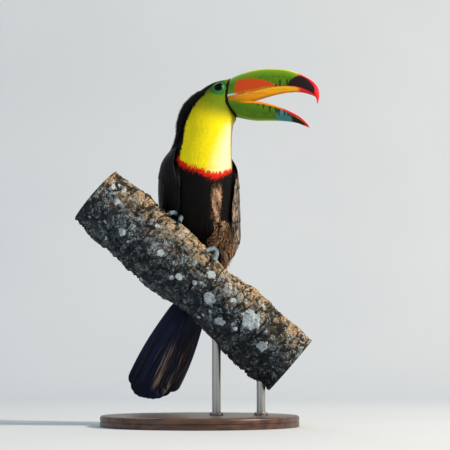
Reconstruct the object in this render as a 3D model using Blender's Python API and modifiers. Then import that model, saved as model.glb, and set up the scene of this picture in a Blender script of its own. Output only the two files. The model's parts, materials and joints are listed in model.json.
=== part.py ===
"""Keel-billed toucan (Ramphastos sulfuratus), life size, as a still display model.

The bird perches upright on a short cut length of branch, its bill open and turned to its left.
Two rods hold the branch over a flat round base. Sizes are in millimetres and are turned into
metres where a mesh is made. +Z is up, +X runs along the bill, and the origin is the centre of
the underside of the base.
"""

import math

import bmesh
import bpy
from mathutils import Matrix, Vector

MM = 0.001
GAP = 0.3                    # clearance between neighbouring solids

# The body is one surface through these stations, from the root of the tail to the base of the bill.
# Each is an oval ring: centre x, y, z; yaw of its front from -Y towards +X; pitch of its front
# below the horizontal; half width; reach to the front; reach to the back.
BODY = (
    (0, 78, 184, 6, 24, 16, 13, 13),          # root of the tail
    (2, 70, 206, 9, 26, 30, 20, 21),
    (2, 58, 232, 13, 28, 42, 28, 28),
    (0.5, 42, 260, 17, 28, 45, 38, 34),
    (-1, 25, 289, 21, 25, 46, 44, 37),        # breast
    (-1, 10, 316, 25, 18, 45, 44, 37),
    (1, 1, 340, 33, 8, 41, 41, 36),           # shoulders
    (5, -4, 363, 43, 0, 35, 39, 37),
    (7, -6, 383, 57, 5, 32, 39, 37),          # nape and throat
    (12.5, -7, 397, 69, 14, 28, 37, 36),
    (20.5, -8.5, 407, 76, 31, 24.5, 31, 30),
    (27.5, -10, 414.5, 80, 55, 22, 26, 24.5),  # eyes
    (32, -11, 417.5, 80, 76, 20.5, 22.5, 21.5),
    (35.3, -12, 418.5, 80, 92, 19.5, 20.5, 20.5),  # base of the bill
)
TRUNK_END, NECK_END = 5.75, 8.4
TAIL_COVERT_LENGTH = 36      # the trunk's hind end, drawn out along the tail
TAIL_COVERTS = ((1, 0.12), (0.8, 0.42), (0.45, 0.74))   # part of that length, and size of the ring there
RING_SIDES, TRUNK_RINGS = 24, 13

# The head's own frame: the corner of the mouth, and the way that the bill points.
GAPE = Vector((36.2, -12, 414.4))
HEAD_YAW, HEAD_ROLL = 80, -12   # a negative roll lifts the right side
ROLL_START, ROLL_STATIONS = 7, 3   # the roll comes in over these stations of the body

EYE_RADIUS = 6.6
EYE_STATION, EYE_ANGLE = 11.5, 110
EYE_DEPTH = 3.6              # of its centre below the skin

# Bill sections, in the head's frame: forward and up of the top, forward and up of the lower edge,
# half width there.
UPPER_BILL = (
    (-3, 23, -3, -5.5, 17), (0, 24.8, -1, -4.5, 17.5), (17, 32.7, 15, -2.5, 17.5), (38, 37.7, 34, 2, 16),
    (59, 38, 54, 7, 14), (80, 34.5, 72, 9.5, 11.5), (98, 25.8, 87, 9, 8.8),
    (107.5, 19.2, 97, 6.5, 6.6), (113.6, 11.5, 105.8, 3, 4.4), (116.2, 2.4, 111.3, -1.4, 2.4),
    (114.6, -10.2, 113.6, -10.2, 0.5),
)
LOWER_BILL = (
    (-3, -8, -5, -18.5, 16), (0, -8.5, -2, -20, 16.5), (17, -10, 14, -25.5, 16), (38, -10, 34, -30.2, 14),
    (54.5, -13.2, 52, -31, 11.7), (72, -18.9, 69, -32, 9), (89, -27, 86, -34.8, 6),
    (98, -34, 96, -38.6, 3.8), (105, -41.6, 104.4, -42.6, 0.6),
)
RIDGE_WIDTH, CHEEK_ROUND, CHEEK_DROP = 0.16, 0.82, 1.15   # of the upper bill's sides
KEEL_ROUND = 0.8             # of the lower bill's sides
PALATE_RISE, TROUGH_DEPTH = 0.2, 0.42
TONGUE_START, TONGUE_END, TONGUE_WIDTH, TONGUE_THICK = 6, 74, 5, 1.6
TONGUE_TAPER, TONGUE_THINNING, TONGUE_LIFT = 0.75, 0.5, 1.0

# Wings: a shell over the side of the trunk. Its front and hind edges are angles from the middle of
# the breast, in degrees; it runs from a station near the shoulder to one near the root of the tail.
WING_TOP, WING_FOOT = 5.72, 0.35
WING_THICK, WING_EDGE = 7, 1.0
WING_FRONT, WING_FRONT_LEAN, WING_SHOULDER, WING_TIP_TURN = 50, 18, 30, 84
WING_HIND, WING_HIND_LEAN, WING_BACK_SHOULDER = 175, 7, 60
WING_LIFT, WING_TIP_LIFT = GAP + 1.3, 9.5   # off the trunk, which narrows faster than the wing does

TAIL_ROOT = Vector((0, 81, 182))
TAIL_TIP = Vector((-74, 108, 32))
TAIL_YAW, TAIL_SKEW = 12, 0.035
TAIL_FEATHERS, TAIL_NOTCH = 10, 3
TAIL_ROUNDING = 0.13         # the outer feathers are this much shorter
TAIL_ROOT_WIDTH, TAIL_WIDTH, TAIL_WIDEST = 14, 33.5, 0.85   # half widths, and where the widest is
TAIL_ARCH = 4
TAIL_THICK, TAIL_THINNING = 3.6, 0.45

PERCH_TOP, PERCH_FOOT = Vector((-132.3, 0, 291)), Vector((114.9, 0, 77.5))
PERCH_RADIUS, PERCH_TAPER = 42.5, 0.006
KNOT_PLACE, KNOT_TURN, KNOT_HEIGHT = 262, 0.5, 3.2   # along the perch, radians from its ridge
BARK_CLEARANCE = 0.45        # below the toes
FEET = {"right": (96, -14), "left": (160, -8)}   # along the perch, and degrees from its ridge
TOE_RADIUS, TOE_TAPER, TOE_ARCH, TOE_STEPS = 3.6, 0.28, 2.4, 5
TOE_LENGTHS = (17, 31, 33, 21)
TOE_SPREAD = (158, -14, 16, -150)               # degrees from straight forward, inner hind toe first
CLAW_LENGTH, CLAW_RADIUS, CLAW_TIP = 11, 2.3, 0.25
TARSUS_RADIUS, TARSUS_SHOWN, TARSUS_LEAN = 4.2, 21, (4, 15)
THIGH_RADIUS, THIGH_END, THIGH_SUNK = 15, 0.42, 14
HIP = (3.3, 50)                # station of the body, and degrees from the breast

BASE_RADIUS, BASE_THICK, BASE_BEVEL = 125, 14, 2.5
ROD_RADIUS, ROD_X = 5.5, (21, 77)
ROD_IN_BASE, ROD_IN_PERCH = 9, 22

COLOURS = {                  # linear colour, roughness, metallic
    "black_feather": ((0.006, 0.006, 0.008), 0.6, 0.0),
    "yellow_feather": ((0.9, 0.72, 0.02), 0.7, 0.0),
    "head_skin": ((0.35, 0.5, 0.03), 0.6, 0.0),
    "bill_green": ((0.12, 0.35, 0.02), 0.3, 0.0),
    "tongue_flesh": ((0.5, 0.16, 0.08), 0.5, 0.0),
    "eye_dark": ((0.01, 0.008, 0.008), 0.1, 0.0),
    "foot_scale": ((0.12, 0.22, 0.28), 0.5, 0.0),
    "claw_horn": ((0.02, 0.02, 0.02), 0.35, 0.0),
    "bark": ((0.12, 0.09, 0.06), 0.9, 0.0),
    "base_wood": ((0.05, 0.025, 0.015), 0.4, 0.0),
    "rod_metal": ((0.35, 0.33, 0.3), 0.35, 1.0),
}


# ---- making objects ----

def start():
    for old in list(bpy.data.objects):
        bpy.data.objects.remove(old, do_unlink=True)
    groups = {}
    for name in ("keel_billed_toucan", "cutters"):
        groups[name] = bpy.data.collections.new(name)
        bpy.context.scene.collection.children.link(groups[name])
    return groups["keel_billed_toucan"], groups["cutters"]


def material(name):
    made = bpy.data.materials.get(name)
    if made is None:
        colour, roughness, metallic = COLOURS[name]
        made = bpy.data.materials.new(name)
        made.use_nodes = True
        shader = made.node_tree.nodes["Principled BSDF"]
        shader.inputs["Base Color"].default_value = (*colour, 1)
        shader.inputs["Roughness"].default_value = roughness
        shader.inputs["Metallic"].default_value = metallic
    return made


def place(name, mesh, surface, group):
    """An object of this mesh, which is a bmesh in millimetres."""
    bmesh.ops.scale(mesh, vec=(MM, MM, MM), verts=mesh.verts)
    bmesh.ops.recalc_face_normals(mesh, faces=mesh.faces)
    data = bpy.data.meshes.new(name)
    mesh.to_mesh(data)
    mesh.free()
    data.shade_smooth()
    data.set_sharp_from_angle(angle=math.radians(40))
    data.materials.append(material(surface))
    made = bpy.data.objects.new(name, data)
    group.objects.link(made)
    return made


def loft(mesh, rings):
    """Sides through the rings, with both ends capped."""
    rows = [[mesh.verts.new(point) for point in ring] for ring in rings]
    sides = len(rows[0])
    for low, high in zip(rows, rows[1:]):
        for side in range(sides):
            after = (side + 1) % sides
            mesh.faces.new((low[side], low[after], high[after], high[side]))
    mesh.faces.new(rows[0][::-1])
    mesh.faces.new(rows[-1])
    return mesh


def grown(source, group):
    """A cutter: the same shape, larger all round."""
    made = bpy.data.objects.new(f"{source.name}_room", source.data)
    group.objects.link(made)
    swell = made.modifiers.new("Grow", "DISPLACE")
    swell.strength, swell.mid_level = GAP * MM, 0
    return hidden(made)


def hidden(cutter):
    cutter.hide_render, cutter.display_type = True, "WIRE"
    return cutter


def cut(target, cutter, operation="DIFFERENCE", solver="EXACT"):
    boolean = target.modifiers.new(operation.title(), "BOOLEAN")
    boolean.operation, boolean.solver, boolean.object = operation, solver, cutter


def baked(target):
    """Its modifiers made real, so that a later cutter copies the finished shape."""
    graph = bpy.context.evaluated_depsgraph_get()
    finished = bpy.data.meshes.new_from_object(target.evaluated_get(graph))
    target.modifiers.clear()
    target.data = finished


# ---- the body's surface ----

def smooth(values, at):
    """A smooth curve through the rows of values, read at a place between them."""
    last = len(values) - 1
    index = min(max(int(math.floor(at)), 0), last - 1)
    part = at - index
    before, low, high, after = (values[min(max(index + step, 0), last)] for step in (-1, 0, 1, 2))
    found = []
    for a, b, c, d in zip(before, low, high, after):
        found.append(b + 0.5 * part * (c - a + part * (2 * a - 5 * b + 4 * c - d
                                                       + part * (3 * (b - c) + d - a))))
    return found


def body_frame(at):
    """Centre, front, left and half sizes of the body's ring at a station."""
    x, y, z, yaw, pitch, width, front, back = smooth(BODY, at)
    yaw, pitch = math.radians(yaw), math.radians(pitch)
    roll = math.radians(HEAD_ROLL) * min(max((at - ROLL_START) / ROLL_STATIONS, 0), 1)
    ahead = Vector((math.sin(yaw), -math.cos(yaw), 0))
    left = Vector((math.cos(yaw), math.sin(yaw), 0))
    facing = ahead * math.cos(pitch) - Vector((0, 0, 1)) * math.sin(pitch)
    turn = Matrix.Rotation(roll, 3, ahead)
    return Vector((x, y, z)), turn @ facing, turn @ left, width, front, back


def body_point(at, angle, swell=0.0):
    """The point of the body at a station and an angle from the front, positive to the bird's left."""
    centre, front, left, width, reach, back = body_frame(at)
    along = math.cos(angle)
    depth = (reach if along > 0 else back) + swell
    return centre + front * along * depth + left * math.sin(angle) * (width + swell)


def body_ring(at, swell=0.0):
    return [body_point(at, 2 * math.pi * side / RING_SIDES, swell) for side in range(RING_SIDES)]


def body_part(name, start_at, end_at, count, surface, group, ahead=(), swell=0.0):
    stations = [start_at + (end_at - start_at) * step / (count - 1) for step in range(count)]
    rings = list(ahead) + [body_ring(at, swell) for at in stations]
    return place(name, loft(bmesh.new(), rings), surface, group)


def tail_axes():
    along = (TAIL_TIP - TAIL_ROOT).normalized()
    yaw = math.radians(TAIL_YAW)
    left = Vector((math.cos(yaw), math.sin(yaw), 0))
    left = (left - along * left.dot(along)).normalized()
    return along, left, along.cross(left).normalized()


def make_trunk(group):
    along, left, under = tail_axes()
    centre, front, side, width, reach, back = body_frame(0)
    coverts = []
    for part, size in TAIL_COVERTS:
        origin = TAIL_ROOT + along * TAIL_COVERT_LENGTH * part
        ring = []
        for step in range(RING_SIDES):
            angle = 2 * math.pi * step / RING_SIDES
            depth = (reach if math.cos(angle) > 0 else back) * size
            ring.append(origin + under * math.cos(angle) * depth + left * math.sin(angle) * width * size)
        coverts.append(ring)
    return body_part("trunk", 0, TRUNK_END, TRUNK_RINGS, "black_feather", group, coverts)


def head_point(forward, side, up):
    """A point in the head's own frame: ahead of the gape, to the bird's left, and up."""
    yaw, roll = math.radians(HEAD_YAW), math.radians(HEAD_ROLL)
    ahead = Vector((math.sin(yaw), -math.cos(yaw), 0))
    level = Vector((math.cos(yaw), math.sin(yaw), 0))
    turn = Matrix.Rotation(roll, 3, ahead)
    return GAPE + ahead * forward + turn @ (level * side + Vector((0, 0, up)))


# ---- bill, tongue and eyes ----

def upper_section(row, hollow=1, sides=9):
    """A keeled top, flat cheeks, sharp lower edges and a hollow palate."""
    top_x, top_z, low_x, low_z, width = row
    ring = []
    for side in (-1, 1):
        half = []
        for step in range(sides):
            part = step / (sides - 1)
            bulge = RIDGE_WIDTH + (1 - RIDGE_WIDTH) * math.sin(part * math.pi / 2) ** CHEEK_ROUND
            half.append(head_point(top_x + (low_x - top_x) * part, side * width * bulge,
                                   top_z + (low_z - top_z) * part ** CHEEK_DROP))
        ring += half if side < 0 else half[::-1]
        if side < 0:
            rise = (top_z - low_z) * PALATE_RISE * hollow
            for across in (-0.5, 0, 0.5):
                ring.append(head_point(low_x, width * across, low_z + rise * (1 - across * across * 2)))
    return ring


def lower_section(row, hollow=1, sides=7):
    """Sharp upper edges round a trough, and a rounded keel."""
    top_x, top_z, low_x, low_z, width = row
    ring = []
    for step in range(2 * sides - 1):
        turn = math.pi * step / (2 * sides - 2)
        across, down = math.cos(turn), math.sin(turn) ** KEEL_ROUND
        ring.append(head_point(top_x + (low_x - top_x) * down, width * across,
                               top_z + (low_z - top_z) * down))
    dip = (top_z - low_z) * TROUGH_DEPTH * hollow
    for across in (-0.7, -0.35, 0, 0.35, 0.7):
        ring.append(head_point(top_x, width * across, top_z - dip * (1 - across * across)))
    return ring


def make_bill(name, rows, section, count, group):
    last = len(rows) - 1
    rings = [section(smooth(rows, last * step / (count - 1))) for step in range(count)]
    return place(name, loft(bmesh.new(), rings), "bill_green", group)


def bill_room(name, rows, section, group):
    """A cutter for the head: the root of the bill, filled in and a little larger."""
    room = 2 * GAP
    larger = []
    for index, (top_x, top_z, low_x, low_z, width) in enumerate(rows[:4]):
        back = room if index == 0 else 0
        larger.append((top_x - back, top_z + room, low_x - back, low_z - room, width + room))
    rings = [section(smooth(larger, 3 * step / 7), 0) for step in range(8)]
    return hidden(place(f"{name}_room", loft(bmesh.new(), rings), "bill_green", group))


def trough(forward):
    """Height of the middle of the lower bill's trough, this far ahead of the gape."""
    last = len(LOWER_BILL) - 1
    low, high = 0.0, float(last)
    for _ in range(30):
        middle = (low + high) / 2
        low, high = (middle, high) if smooth(LOWER_BILL, middle)[0] < forward else (low, middle)
    top_x, top_z, low_x, low_z, width = smooth(LOWER_BILL, low)
    return top_z - (top_z - low_z) * TROUGH_DEPTH, width


def make_tongue(group):
    rings = []
    steps = 9
    for step in range(steps):
        part = step / (steps - 1)
        forward = TONGUE_START + (TONGUE_END - TONGUE_START) * part
        floor, width = trough(forward)
        half = min(TONGUE_WIDTH * (1 - TONGUE_TAPER * part ** 1.5), width * 0.6)
        thick = TONGUE_THICK * (1 - TONGUE_THINNING * part)
        lift = floor + TONGUE_LIFT + thick / 2 + 1.4 * (half / width) ** 2
        rings.append([head_point(forward, half * math.cos(turn * math.pi / 4),
                                 lift + thick / 2 * math.sin(turn * math.pi / 4)) for turn in range(8)])
    return place("tongue", loft(bmesh.new(), rings), "tongue_flesh", group)


def eye_centre(side):
    at = body_point(EYE_STATION, side * math.radians(EYE_ANGLE))
    ahead = body_point(EYE_STATION + 0.05, side * math.radians(EYE_ANGLE))
    round_it = body_point(EYE_STATION, side * math.radians(EYE_ANGLE + 2))
    normal = (ahead - at).cross(round_it - at).normalized()
    if normal.dot(at - body_frame(EYE_STATION)[0]) < 0:
        normal = -normal
    return at - normal * EYE_DEPTH, normal


def ball(name, centre, normal, radius, surface, group):
    mesh = bmesh.new()
    turn = normal.to_track_quat("Z", "Y").to_matrix().to_4x4()
    bmesh.ops.create_uvsphere(mesh, u_segments=14, v_segments=8, radius=radius,
                              matrix=Matrix.Translation(centre) @ turn)
    return place(name, mesh, surface, group)


# ---- wings and tail ----

def wing_edges(part):
    """The front and hind edge, this part of the way from shoulder to tip: both round in at the ends."""
    front = WING_FRONT + WING_FRONT_LEAN * part + WING_SHOULDER * math.exp(-part / 0.06)
    front += WING_TIP_TURN * (2 * max(part - 0.5, 0)) ** 1.7
    hind = WING_HIND - WING_HIND_LEAN * part - WING_BACK_SHOULDER * math.exp(-part / 0.05)
    return front, hind


def make_wing(side, group):
    rows, columns = 13, 8
    outer, inner = [], []
    for row in range(rows):
        part = row / (rows - 1)
        at = WING_TOP + (WING_FOOT - WING_TOP) * part
        lift = WING_LIFT + WING_TIP_LIFT * max(part - 0.4, 0) ** 1.2
        front, hind = wing_edges(part)
        for column in range(columns):
            across = column / (columns - 1)
            angle = side * math.radians(front + (hind - front) * across)
            thick = WING_THICK * (0.22 + 0.78 * math.sin(math.pi * min(across * 1.05 + 0.04, 1)) ** 0.6)
            thick *= 0.3 + 0.7 * math.sin(math.pi * (0.12 + 0.8 * part))
            inner.append(body_point(at, angle, lift))
            outer.append(body_point(at, angle, lift + max(thick, WING_EDGE)))
    return place(f"wing_{'left' if side > 0 else 'right'}", shell(outer, inner, rows, columns),
                 "black_feather", group)


def shell(outer, inner, rows, columns):
    """A closed sheet with an outer and an inner face, each a grid of points."""
    mesh = bmesh.new()
    top = [mesh.verts.new(point) for point in outer]
    low = [mesh.verts.new(point) for point in inner]
    for row in range(rows - 1):
        for column in range(columns - 1):
            corner = row * columns + column
            quad = (corner, corner + 1, corner + columns + 1, corner + columns)
            mesh.faces.new([top[index] for index in quad])
            mesh.faces.new([low[index] for index in quad[::-1]])
    last = (rows - 1) * columns
    rim = list(range(columns)) + [row * columns + columns - 1 for row in range(1, rows)]
    rim += [last + column for column in range(columns - 2, -1, -1)]
    rim += [row * columns for row in range(rows - 2, 0, -1)]
    for here, after in zip(rim, rim[1:] + rim[:1]):
        mesh.faces.new((top[here], low[here], low[after], top[after]))
    return mesh


def tail_half_width(part):
    spread = math.sin(math.pi / 2 * min(part / TAIL_WIDEST, 1)) ** 1.2
    return TAIL_ROOT_WIDTH + (TAIL_WIDTH - TAIL_ROOT_WIDTH) * spread


def make_tail(group):
    along, left, under = tail_axes()
    length = (TAIL_TIP - TAIL_ROOT).length
    rows, columns = 6, 31
    top, low = [], []
    for row in range(rows):
        for column in range(columns):
            across = 2 * column / (columns - 1) - 1
            lobe = abs(math.sin(math.pi * TAIL_FEATHERS / 2 * across))
            reach = length * (1 - TAIL_ROUNDING * abs(across) ** 3 - TAIL_SKEW * across)
            if 0 < column < columns - 1:
                reach -= TAIL_NOTCH * (1 - lobe ** 0.7)
            part = row / (rows - 1)
            down = reach * part
            half = tail_half_width(part)
            bend = TAIL_ARCH * (1 - across * across) * part
            thick = TAIL_THICK * (1 - TAIL_THINNING * part) * (1 - 0.5 * across * across)
            middle = TAIL_ROOT + along * down + left * half * across - under * bend
            top.append(middle - under * thick / 2)
            low.append(middle + under * thick / 2)
    return place("tail", shell(top, low, rows, columns), "black_feather", group)


# ---- perch, legs and feet ----

def perch_axes():
    along = (PERCH_FOOT - PERCH_TOP).normalized()
    front = Vector((0, -1, 0))
    return along, front, front.cross(along).normalized()


def perch_radius(down, angle):
    """The branch is a little uneven: slow swells along it, a few low lobes and one old knot."""
    swell = 2.2 * math.sin(down / 31 - 1.42) + 0.8 * math.sin(down / 17 + 2 * angle)
    lobes = 1.1 * math.sin(3 * angle + down / 60) + 0.7 * math.sin(5 * angle - down / 45)
    round_it = math.remainder(angle - KNOT_TURN, 2 * math.pi)
    knot = KNOT_HEIGHT * math.exp(-((down - KNOT_PLACE) / 16) ** 2 - (round_it / 0.4) ** 2)
    return PERCH_RADIUS - PERCH_TAPER * down + swell + lobes + knot


def perch_point(down, angle, height=0.0):
    """A point over the branch: this far along it, at an angle from its ridge towards the front."""
    along, front, top = perch_axes()
    reach = perch_radius(down, angle) + height
    return PERCH_TOP + along * down + (top * math.cos(angle) + front * math.sin(angle)) * reach


def make_perch(name, height, group):
    length = (PERCH_FOOT - PERCH_TOP).length
    rows, sides = 17, 26
    rings = []
    for row in range(rows):
        down = length * row / (rows - 1)
        rings.append([perch_point(down, 2 * math.pi * side / sides, height) for side in range(sides)])
    return place(name, loft(bmesh.new(), rings), "bark", group)


def tube_rings(points, radii, sides=7):
    rings = []
    for index, point in enumerate(points):
        ahead = points[min(index + 1, len(points) - 1)] - points[max(index - 1, 0)]
        turn = ahead.to_track_quat("Z", "Y").to_matrix()
        rings.append([point + turn @ Vector((math.cos(step * 2 * math.pi / sides),
                                             math.sin(step * 2 * math.pi / sides), 0)) * radii[index]
                      for step in range(sides)])
    return rings


def toe_path(foot, spread, length, beyond=()):
    """Along the toe: how far as a part of its length, place on the branch, and lift of its arch."""
    down, angle = foot
    spread = math.radians(spread)
    path = []
    reaches = [length * step / TOE_STEPS for step in range(TOE_STEPS + 1)]
    for reach in reaches + [length + far for far in beyond]:
        turned = math.radians(angle) + reach * math.cos(spread) / (PERCH_RADIUS + TOE_RADIUS)
        part = min(reach / length, 1)
        path.append((part, down + reach * math.sin(spread), turned, TOE_ARCH * math.sin(math.pi * part)))
    return path


def make_leg(side, group, cutters):
    """Bare shank and four toes, two ahead and two behind, and the room that they need in the belly."""
    foot = FEET[side]
    mirror = 1 if side == "left" else -1
    base = perch_point(foot[0], math.radians(foot[1]), 1.5 * TOE_RADIUS)
    heel = base + Vector((-TARSUS_LEAN[0] * mirror, TARSUS_LEAN[1], TARSUS_SHOWN))
    made = tarsus(f"leg_{side}", base, heel, 0, group)
    rooms = [hidden(tarsus(f"shank_room_{side}", base, heel, GAP, cutters))]
    for number, (spread, length) in enumerate(zip(TOE_SPREAD, TOE_LENGTHS), 1):
        path = toe_path(foot, spread * mirror, length)
        toe = make_toe(f"toe_{side}_{number}", path, 0, cutters)
        cut(made, hidden(toe), "UNION")
        make_claw(f"claw_{side}_{number}", foot, spread * mirror, length, toe_middle(path), group)
        room = toe_path(foot, spread * mirror, length, (CLAW_LENGTH / 2, CLAW_LENGTH + 1))
        rooms.append(hidden(make_toe(f"toe_room_{side}_{number}", room, GAP, cutters)))
    return rooms, base, heel


def toe_radius(part):
    return TOE_RADIUS * (1 - TOE_TAPER * part)


def toe_middle(path):
    return [perch_point(down, angle, toe_radius(part) + BARK_CLEARANCE + arch)
            for part, down, angle, arch in path]


def make_toe(name, path, swell, group):
    radii = [toe_radius(part) + swell for part, *_ in path]
    return place(name, loft(bmesh.new(), tube_rings(toe_middle(path), radii)), "foot_scale", group)


def tarsus(name, base, heel, swell, group):
    ahead = (heel - base).normalized()
    points = [base - ahead * 2, base, heel + ahead * swell]
    radii = [TARSUS_RADIUS + swell, TARSUS_RADIUS + swell, TARSUS_RADIUS * 0.85 + swell]
    return place(name, loft(bmesh.new(), tube_rings(points, radii)), "foot_scale", group)


def make_claw(name, foot, spread, length, toe_points, group):
    """A curved horn that goes on from the toe's end and down to the bark."""
    last = toe_points[-1]
    ahead = (last - toe_points[-2]).normalized()
    _, down, angle, _ = toe_path(foot, spread, length, (CLAW_LENGTH,))[-1]
    tip = perch_point(down, angle, 2 * BARK_CLEARANCE)
    root = last + ahead * (GAP + 0.05)
    middle = (root + tip) / 2 + (perch_point(down, angle, 9) - tip) * 0.32
    points, radii = [], []
    for step in range(5):
        part = step / 4
        points.append(root * (1 - part) ** 2 + middle * 2 * part * (1 - part) + tip * part ** 2)
        radii.append(CLAW_RADIUS * (1 - part) + CLAW_TIP)
    rings = tube_rings(points, radii, 6)
    square = ahead.to_track_quat("Z", "Y").to_matrix()
    rings[0] = [root + square @ Vector((math.cos(turn), math.sin(turn), 0)) * CLAW_RADIUS
                for turn in (step * math.pi / 3 for step in range(6))]
    return place(name, loft(bmesh.new(), rings), "claw_horn", group)


def make_thigh(side, base, heel, cutters):
    """The feathered leg, from the flank down to the bare shank. It is joined to the trunk."""
    station, angle = HIP
    hip = body_point(station, (1 if side == "left" else -1) * math.radians(angle), -THIGH_SUNK)
    low = base + (heel - base) * THIGH_END
    points, radii = [], []
    for step in range(8):
        part = step / 7
        points.append(hip * (1 - part) + low * part)
        radii.append(THIGH_RADIUS * math.sin(math.pi * (0.1 + 0.74 * part)))
    return hidden(place(f"thigh_{side}", loft(bmesh.new(), tube_rings(points, radii, 12)),
                        "black_feather", cutters))


# ---- stand ----

def cylinder(name, centre, radius, height, surface, group, sides=48, bevel=0.0):
    mesh = bmesh.new()
    bmesh.ops.create_cone(mesh, cap_ends=True, segments=sides, radius1=radius, radius2=radius,
                          depth=height, matrix=Matrix.Translation(centre + Vector((0, 0, height / 2))))
    made = place(name, mesh, surface, group)
    if bevel:
        rounded = made.modifiers.new("Bevel", "BEVEL")
        rounded.width, rounded.segments, rounded.limit_method = bevel * MM, 2, "ANGLE"
        baked(made)
    return made


def perch_underside(x):
    """Height of the branch's lower surface over the base, at this X in the middle plane."""
    along, front, top = perch_axes()
    down = 0.0
    for _ in range(20):
        down += (x - perch_point(down, math.pi).x) / along.x
    return perch_point(down, math.pi).z


def make_stand(perch, group, cutters):
    base = cylinder("stand_base", Vector((0, 0, 0)), BASE_RADIUS, BASE_THICK, "base_wood", group,
                    40, BASE_BEVEL)
    for number, x in enumerate(ROD_X, 1):
        foot = BASE_THICK - ROD_IN_BASE
        height = perch_underside(x) + ROD_IN_PERCH - foot
        rod = cylinder(f"stand_rod_{number}", Vector((x, 0, foot)), ROD_RADIUS, height, "rod_metal",
                       group, 16)
        socket = cylinder(f"socket_{number}", Vector((x, 0, foot - GAP)), ROD_RADIUS + GAP,
                          height + 2 * GAP, "rod_metal", cutters, 16)
        hidden(socket)
        cut(base, socket)
        cut(perch, socket)


def make_body(group, cutters):
    trunk = make_trunk(group)
    body_part("neck", TRUNK_END + 0.012, NECK_END, 8, "yellow_feather", group)
    head = body_part("head", NECK_END + 0.03, len(BODY) - 1, 12, "head_skin", group)
    for name, rows, section, count in (("bill_upper", UPPER_BILL, upper_section, 15),
                                       ("bill_lower", LOWER_BILL, lower_section, 12)):
        make_bill(name, rows, section, count, group)
        cut(head, bill_room(name, rows, section, cutters))
    make_tongue(group)
    for side, name in ((1, "left"), (-1, "right")):
        centre, normal = eye_centre(side)
        ball(f"eye_{name}", centre, normal, EYE_RADIUS, "eye_dark", group)
        cut(head, hidden(ball(f"eye_room_{name}", centre, normal, EYE_RADIUS + GAP, "eye_dark", cutters)))
    return trunk


def main():
    group, cutters = start()
    trunk = make_body(group, cutters)
    perch = make_perch("perch", 0, group)
    perch_room = hidden(make_perch("perch_room", GAP, cutters))
    trunk_room = hidden(body_part("trunk_room", 0, TRUNK_END, TRUNK_RINGS, "black_feather", cutters,
                                  swell=2 * GAP))
    rooms = [grown(make_tail(group), cutters), perch_room]
    for side, name in ((1, "left"), (-1, "right")):
        leg_rooms, base, heel = make_leg(name, group, cutters)
        cut(trunk, make_thigh(name, base, heel, cutters), "UNION")
        rooms += leg_rooms
        wing = make_wing(side, group)
        for room in (trunk_room, perch_room, *leg_rooms[1:]):
            cut(wing, room, solver="MANIFOLD")
    for room in rooms:
        cut(trunk, room, solver="MANIFOLD")
    make_stand(perch, group, cutters)


main()
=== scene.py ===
"""The looks of a keel-billed toucan, as a life-size still display model on a cut length of branch.

The file is laid out as a Blender add-on and is run as a script. Sizes are in millimetres and are
turned into metres where a mesh is made. +Z is up, +X runs along the bill, and the origin is the
centre of the underside of the stand's base. The bird's own right side is the one that shows most.
"""

import functools
import json
import math

import bmesh
import bpy
import numpy as np
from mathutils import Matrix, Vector
from mathutils.bvhtree import BVHTree
from mathutils.kdtree import KDTree

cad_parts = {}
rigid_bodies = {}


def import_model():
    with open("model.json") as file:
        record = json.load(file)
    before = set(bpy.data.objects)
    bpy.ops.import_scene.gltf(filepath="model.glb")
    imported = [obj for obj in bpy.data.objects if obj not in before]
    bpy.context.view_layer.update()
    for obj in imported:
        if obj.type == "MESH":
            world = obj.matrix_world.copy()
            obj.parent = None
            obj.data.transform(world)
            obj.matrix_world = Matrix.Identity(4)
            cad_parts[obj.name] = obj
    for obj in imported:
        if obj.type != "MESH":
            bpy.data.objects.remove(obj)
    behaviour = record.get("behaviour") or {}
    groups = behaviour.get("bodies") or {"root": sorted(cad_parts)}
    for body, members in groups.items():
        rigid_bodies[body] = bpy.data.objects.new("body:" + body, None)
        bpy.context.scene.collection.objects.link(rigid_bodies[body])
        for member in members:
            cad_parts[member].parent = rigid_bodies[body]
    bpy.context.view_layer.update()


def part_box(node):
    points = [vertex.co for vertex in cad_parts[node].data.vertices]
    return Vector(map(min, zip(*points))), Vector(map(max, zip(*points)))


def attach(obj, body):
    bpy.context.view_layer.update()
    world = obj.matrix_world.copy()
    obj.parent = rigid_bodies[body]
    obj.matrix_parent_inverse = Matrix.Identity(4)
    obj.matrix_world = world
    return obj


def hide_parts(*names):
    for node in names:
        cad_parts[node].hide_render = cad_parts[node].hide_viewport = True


bl_info = {
    "name": "Keel-billed toucan",
    "version": (1, 0, 0),
    "blender": (4, 5, 0),
    "location": "3D View > Sidebar > Toucan",
    "description": "Skin, plumage, bill, feet, perch and stand of a still display toucan",
    "category": "Object",
}

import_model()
MM = 0.001
BODY_NAME = "root"
SIDES = {"left": 1, "right": -1}

# The body's stations, from the root of the tail to the base of the bill: centre x, y, z; yaw of the
# front from -Y towards +X; its pitch below the horizontal; half width; reach in front; reach behind.
BODY = (
    (0, 78, 184, 6, 24, 16, 13, 13),
    (2, 70, 206, 9, 26, 30, 20, 21),
    (2, 58, 232, 13, 28, 42, 28, 28),
    (0.5, 42, 260, 17, 28, 45, 38, 34),
    (-1, 25, 289, 21, 25, 46, 44, 37),
    (-1, 10, 316, 25, 18, 45, 44, 37),
    (1, 1, 340, 33, 8, 41, 41, 36),
    (5, -4, 363, 43, 0, 35, 39, 37),
    (7, -6, 383, 57, 5, 32, 39, 37),
    (12.5, -7, 397, 69, 14, 28, 37, 36),
    (20.5, -8.5, 407, 76, 31, 24.5, 31, 30),
    (27.5, -10, 414.5, 80, 55, 22, 26, 24.5),
    (32, -11, 417.5, 80, 76, 20.5, 22.5, 21.5),
    (35.3, -12, 418.5, 80, 92, 19.5, 20.5, 20.5),
)
BILL_STATION = 13
GAPE = np.array((36.2, -12, 414.4))
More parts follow.
